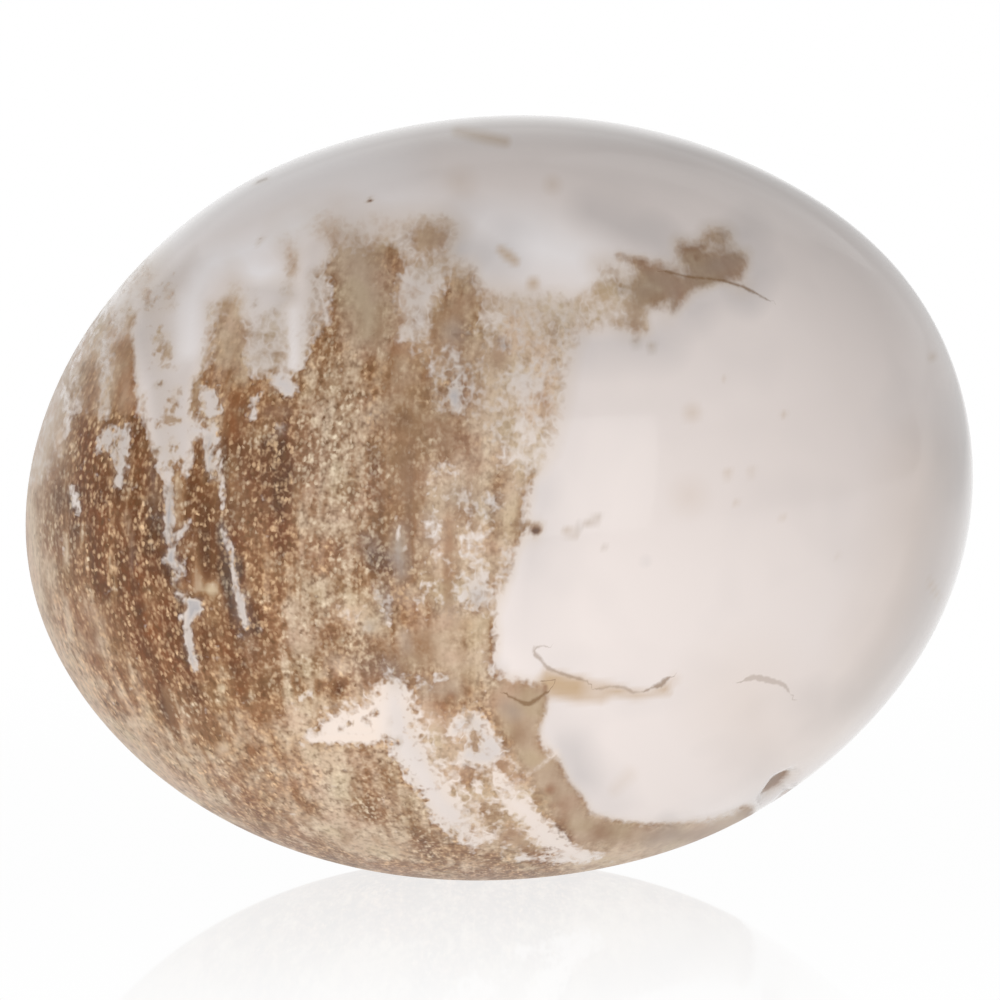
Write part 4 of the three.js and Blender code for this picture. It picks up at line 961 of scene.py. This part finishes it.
# Colours as digits of red, green and blue; the tints multiply a colour. The shares say how far a
# pattern or a field shows, and each fade is the pair of values between which something sets in.
stone = {
    "agate": "EDE2DD", "agateCool": "ADA8A8", "agateStainAndShade": "C0A079", "agateBlush": "F0DFD2",
    "agateMilkAndSheen": "F9F4F4", "agateLaced": "D8C6B4",
    "woodLight": "D2BA9F", "woodMid": "9A7553", "woodDeep": "623D23", "woodDarkest": "3A2517",
    "rust": "91552B", "woodGrey": "9A8C84", "olive": (0.97, 1.0, 0.93, 1), "pink": (1.03, 0.97, 0.98, 1),
    "grainLight": "EFC99E", "grainPale": "EEDBBF", "grainDark": "6A4828", "vein": "866748",
    "deepening": 0.45,  # how far the patterns are drawn out from front to back
    "broadLace": 0.35, "grainLace": 0.3, "fineLace": 0.4, "curls": 0.7, "curlFade": (0.6, 0.0),
    "laceLift": 0.15, "woodFade": (-0.55, 0.55), "rimIn": (0.1, 0.5), "rimOut": (0.5, 1.1), "rim": 0.15,
    "streaks": 0.34, "patches": 0.14, "smoothWood": 0.14, "depth": 0.7, "redPatches": 0.4, "tints": 0.8,
    "greyWood": 0.7, "leftEnd": (-6, -11), "longGrains": 0.6,
    "kernelFade": (0.75, 0.15), "darkFade": (0.2, -1.3), "lightFade": (-0.1, 1.4), "paleRust": (0.02, 0.22),
    "darkGrains": 0.68, "darkKernels": 0.35, "darkLuck": (0.3, 0.0), "darkLeft": 0.4,
    "lightGrains": 0.68, "lightKernels": 0.62, "lightLuck": (0.35, 0.95), "lightLeft": 0.25,
    "lightStreaks": 0.2, "lightAll": 0.72, "lightClumps": 0.3,
    "clouds": 0.12, "laced": 0.52, "veinRagged": 0.03, "veinFade": (-0.05, 0.05),
    "roughness": 0.18, "woodRoughness": 0.38, "coat": 0.6, "coatRoughness": 0.05, "refraction": 1.33,
    "bump": 0.02, "bumpStrength": 0.25,
}

# The noises of the skin: turns per millimetre, finer turns within them, and how strong those are.
# A stretch is (across, deep, up).
noises = {
    "broadLace": {"scale": 2.4, "detail": 1, "roughness": 0.6},
    "grainLace": {"stretch": (3.0, 1.3, 1.2), "detail": 1},
    "fineLace": {"scale": 5.2, "detail": 1},
    "curls": {"stretch": (1, 1, 0.8), "scale": 2.8, "detail": 1},
    "streaks": {"stretch": (1.9, 0.9, 0.2)},
    "patches": {"scale": 1.3, "roughness": 0.6},
    "hue": {"scale": 0.8, "detail": 1},
    "clumps": {"scale": 1.1, "detail": 1},
    "longGrains": {"stretch": (5.4, 3.0, 2.8), "detail": 1, "roughness": 0.6},
    "roundGrains": {"stretch": (1, 0.6, 1), "scale": 5.0, "detail": 1, "roughness": 0.6},
    "clouds": {"scale": 0.22},
    "veinEdge": {"scale": 4.0},
}
kernels = {"stretch": (7.2, 4.0, 5.4), "wanderScale": 1.2, "wander": 0.6}  # round cells among the grains


# The skin: agate and wood are coloured apart and blended where the wood field, broken up by lacing,
# crosses 0. Wood is a ramp of browns by its depth, with dark and light grains over it.
def polishedStone():
    material = bpy.data.materials.new("polished petrified wood")
    material.use_nodes = True
    tree = Tree(material.node_tree)
    place = tree.stretch(tree.add("ShaderNodeTexCoord", output="Object"), (1 / mm, 1 / mm, 1 / mm))
    grain = tree.attribute("grain", "Vector")
    flat = tree.stretch(place, (1, stone["deepening"], 1))

    # where wood ends and agate begins
    lacing = tree.noise(flat, **noises["broadLace"]) * stone["broadLace"]
    lacing = lacing + tree.noise(grain, **noises["grainLace"]) * stone["grainLace"]
    lacing = lacing + tree.noise(flat, **noises["fineLace"]) * stone["fineLace"]
    laced = 1 - tree.attribute("wood").size()
    curls = tree.noise(flat, **noises["curls"]).size().climb(*stone["curlFade"])
    broken = lacing - curls * laced * stone["curls"] + laced * stone["laceLift"]
    edge = tree.attribute("wood") + tree.attribute("ragged") * broken
    wood = edge.climb(*stone["woodFade"])
    rim = edge.climb(*stone["rimIn"]) * (1 - edge.climb(*stone["rimOut"]))

    # the depth of the brown, from streaks along the grain and patches, and its tints
    streaks = tree.noise(grain, **noises["streaks"])
    patches = tree.noise(flat, **noises["patches"])
    grit = tree.attribute("grit")
    uneven = streaks * stone["streaks"] + patches * stone["patches"]
    uneven = uneven * (stone["smoothWood"] + grit * (1 - stone["smoothWood"]))
    deep = tree.attribute("dark") + uneven + rim * grit * stone["rim"]
    brown = tree.add("ShaderNodeValToRGB",
                     {"stops": [(0, paint(stone["woodLight"])), (0.35, paint(stone["woodMid"])),
                                (0.7, paint(stone["woodDeep"])), (1, paint(stone["woodDarkest"]))]},
                     {"Fac": deep * stone["depth"]})
    redness = tree.attribute("rust") * (0.5 + patches * stone["redPatches"])
    brown = tree.blend(redness.between(0, 1), brown, paint(stone["rust"]))
    hue = tree.noise(flat, **noises["hue"])
    brown = tree.blend(hue.climb(0, 1) * stone["tints"], brown, stone["olive"], "MULTIPLY")
    brown = tree.blend(hue.climb(0, -1) * stone["tints"], brown, stone["pink"], "MULTIPLY")
    greyShare = (tree.attribute("cool") * stone["greyWood"]).between(0, 1)
    wooden = tree.blend(greyShare, brown, paint(stone["woodGrey"]))

    # the grains: round ones, longer ones at the left end, and kernels that are dark or light by luck
    leftward = tree.add("ShaderNodeSeparateXYZ", None, {0: place}).climb(*stone["leftEnd"])
    longGrains = tree.noise(grain, **noises["longGrains"])
    roundGrains = tree.noise(place, **noises["roundGrains"])
    grains = roundGrains + (longGrains - roundGrains) * leftward * stone["longGrains"]
    spread = tree.wander(tree.stretch(grain, kernels["stretch"]), kernels["wanderScale"], kernels["wander"])
    cells = tree.add("ShaderNodeTexVoronoi", None, {"Vector": spread, "Scale": 1.0})
    luck = tree.add("ShaderNodeSeparateColor", None, {0: cells.beside("Color")})
    kernel = cells.climb(*stone["kernelFade"])
    shade = grains.climb(*stone["darkFade"]) * stone["darkGrains"]
    shade = shade + kernel * luck.climb(*stone["darkLuck"]) * stone["darkKernels"]
    shade = shade * grit * (1 + leftward * stone["darkLeft"])
    wooden = tree.blend(shade.between(0, 1), wooden, paint(stone["grainDark"]))
    clumps = tree.noise(flat, **noises["clumps"])
    bright = (grains - streaks * stone["lightStreaks"]).climb(*stone["lightFade"]) * stone["lightGrains"]
    bright = bright + kernel * luck.climb(*stone["lightLuck"]) * stone["lightKernels"]
    clumped = stone["lightAll"] + clumps * stone["lightClumps"] + leftward * stone["lightLeft"]
    bright = bright * grit * clumped
    reddish = redness.climb(*stone["paleRust"])
    sparkle = tree.blend(reddish, paint(stone["grainPale"]), paint(stone["grainLight"]))
    wooden = tree.blend(bright.between(0, 1), wooden, sparkle)

    # the agate: milky, with cool, stained and blushing places; the stain and milk tints also carry painted
    # shade inside the right rim and painted sheen along the upper-left rim
    cool = tree.attribute("cool") + tree.noise(place, **noises["clouds"]) * stone["clouds"]
    agate = tree.blend(cool.between(0, 1), paint(stone["agate"]), paint(stone["agateCool"]))
    agate = tree.blend(tree.attribute("milk"), agate, paint(stone["agateMilkAndSheen"]))
    agate = tree.blend(laced.between(0, 1) * stone["laced"], agate, paint(stone["agateLaced"]))
    agate = tree.blend(tree.attribute("stain"), agate, paint(stone["agateStainAndShade"]))
    agate = tree.blend(tree.attribute("blush"), agate, paint(stone["agateBlush"]))

    # the veins: dark where the half width, a little ragged, is more than the distance to the side
    colour = tree.blend(wood, agate, wooden)
    ragged = tree.noise(place, **noises["veinEdge"]) * stone["veinRagged"]
    within = tree.attribute("veinWidth") + ragged - tree.attribute("veinSide").size()
    vein = within.climb(*stone["veinFade"]) * tree.attribute("veinTone")
    colour = tree.blend(vein, colour, paint(stone["vein"]))

    bump = tree.add("ShaderNodeBump", None,
                    {"Strength": stone["bumpStrength"], "Distance": stone["bump"] * mm,
                     "Height": grains * wood * grit})
    roughness = stone["roughness"] + wood * (stone["woodRoughness"] - stone["roughness"])
    shader = tree.add("ShaderNodeBsdfPrincipled", None,
                      {"Base Color": colour, "Roughness": roughness, "IOR": stone["refraction"],
                       "Coat Weight": (1 - wood) * stone["coat"], "Coat Roughness": stone["coatRoughness"],
                       "Normal": bump})
    tree.add("ShaderNodeOutputMaterial", None, {"Surface": shader})
    return material



# The floor glows white, less to the right and up the wall, and a little more towards the viewer; in
# front of the pebble it mirrors a little. Metres; each fade is where something starts and is full.
floorLook = {
    "front": -1.2, "bend": 0.3, "back": 0.45, "rise": 0.16, "wall": 0.5, "half": 1.2, "steps": 9,
    "glow": 1.0, "rightGlow": 0.7, "rightFade": (0.019, 0.09), "widening": 0.05,
    "wallFade": 0.75, "wallStart": 0.03, "frontGlow": 0.1, "frontFade": (0.03, 0.15),
    "mirror": 0.24, "mirrorEnd": -0.031, "mirrorFade": (0.02, 0.05), "mirrorRoughness": 0.04,
}


# A flat floor that turns up into a wall by a quarter circle of radius rise.
def buildFloor():
    turn = np.linspace(0, np.pi / 2, floorLook["steps"])
    radius, back = floorLook["rise"], floorLook["back"]
    flatPart = [floorLook["front"], floorLook["bend"]]
    along = np.concatenate([flatPart, back + radius * np.sin(turn), [back + radius]])
    up = np.concatenate([[0, 0], radius * (1 - np.cos(turn)), [floorLook["wall"]]])
    half = floorLook["half"]
    points = [(x, y, z) for y, z in zip(along, up) for x in (-half, half)]
    faces = [(2 * i, 2 * i + 1, 2 * i + 3, 2 * i + 2) for i in range(len(along) - 1)]
    mesh = bpy.data.meshes.new("floor_mesh")
    mesh.from_pydata(points, [], faces)
    mesh.shade_smooth()
    material = bpy.data.materials.new("white sweep")
    material.use_nodes = True
    tree = Tree(material.node_tree)
    place = tree.add("ShaderNodeTexCoord", output="Object")
    aside = tree.add("ShaderNodeSeparateXYZ", None, {0: place})
    inward = aside.beside(1)
    rise = aside.beside(2)
    right = (aside - inward * floorLook["widening"]).climb(*floorLook["rightFade"])
    glow = floorLook["glow"] - right * (floorLook["glow"] - floorLook["rightGlow"])
    glow = glow * (1 - rise.climb(floorLook["wallStart"], floorLook["wall"]) * floorLook["wallFade"])
    glow = glow + (inward * -1).climb(*floorLook["frontFade"]) * floorLook["frontGlow"] * (1 - right)
    share = (1 - inward * (1 / floorLook["mirrorEnd"])).between(0, 1)
    share = share * (1 - inward.climb(*floorLook["mirrorFade"]))
    shining = tree.add("ShaderNodeEmission", None, {"Color": glow})
    mirror = tree.add("ShaderNodeBsdfAnisotropic", None,
                      {"Roughness": floorLook["mirrorRoughness"], "Color": (1, 1, 1, 1)})
    both = tree.add("ShaderNodeMixShader", None, {0: share * floorLook["mirror"], 1: shining, 2: mirror})
    tree.add("ShaderNodeOutputMaterial", None, {"Surface": both})
    mesh.materials.append(material)
    made = bpy.data.objects.new("floor", mesh)
    bpy.context.scene.collection.objects.link(made)



# Soft boxes round the pebble: turn is how far to the right of straight in front, rise how high, both
# in degrees; away and sides in metres, power in watts.
lights = {
    "front": {"turn": 12, "rise": 16, "away": 0.66, "sides": (0.6, 0.4), "power": 0.85},
    "frontLeft": {"turn": -32, "rise": 16, "away": 0.66, "sides": (0.8, 0.5), "power": 2.15},
    "topRight": {"turn": 60, "rise": 50, "away": 0.66, "sides": (0.7, 0.6), "power": 0.28},
    "backRight": {"turn": 130, "rise": 35, "away": 0.66, "sides": (0.8, 0.6), "power": 0.27},
    "back": {"turn": 180, "rise": 28, "away": 0.66, "sides": (0.8, 0.5), "power": 0.23},
}
surroundings = 0.29


def buildLights():
    for name, box in lights.items():
        light = bpy.data.lights.new(name, "AREA")
        light.shape = "RECTANGLE"
        light.size, light.size_y = box["sides"]
        light.energy = box["power"]
        made = bpy.data.objects.new(name, light)
        turn, rise = math.radians(box["turn"]), math.radians(box["rise"])
        level = math.cos(rise)
        toward = np.array([-math.sin(turn) * level, math.cos(turn) * level, -math.sin(rise)])
        made.location = pebbleMiddle * mm - toward * box["away"]
        made.rotation_euler = (math.pi / 2 - rise, 0, turn)
        bpy.context.scene.collection.objects.link(made)
    world = bpy.data.worlds.new("surroundings")
    world.use_nodes = True
    tree = Tree(world.node_tree)
    tree.add("ShaderNodeOutputWorld", None,
             {"Surface": tree.add("ShaderNodeBackground", None, {"Strength": surroundings})})
    bpy.context.scene.world = world


# A long lens, looking down a little. View is the frame's width in millimetres at the pebble's middle.
lens = {"above": 8.0, "away": 400.0, "view": 33.70, "aimOff": (0.03, -0.135), "sensor": 36.0}


def buildCamera():
    e = math.radians(lens["above"])
    back = np.array([0, -math.cos(e), math.sin(e)])
    upward = np.array([0, math.sin(e), math.cos(e)])
    right, rise = lens["aimOff"]
    aim = pebbleMiddle + np.array([right, 0, 0]) + upward * rise
    camera = bpy.data.cameras.new("camera")
    camera.sensor_width = lens["sensor"]
    camera.lens = lens["sensor"] * lens["away"] / lens["view"]
    camera.clip_start = 0.01
    made = bpy.data.objects.new("camera", camera)
    made.location = (aim + back * lens["away"]) * mm
    made.rotation_euler = (math.radians(90 - lens["above"]), 0, 0)
    bpy.context.scene.collection.objects.link(made)
    bpy.context.scene.camera = made


buildCamera()
print("camera placed")

stonePiece = buildPebble()
stonePiece.data.materials.append(polishedStone())
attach(stonePiece, "root")
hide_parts("petrified_wood")
print("pebble made:", len(stonePiece.data.polygons), "faces")

buildFloor()
buildLights()
bpy.context.scene.view_settings.view_transform = "Standard"
print("floor and lights placed")
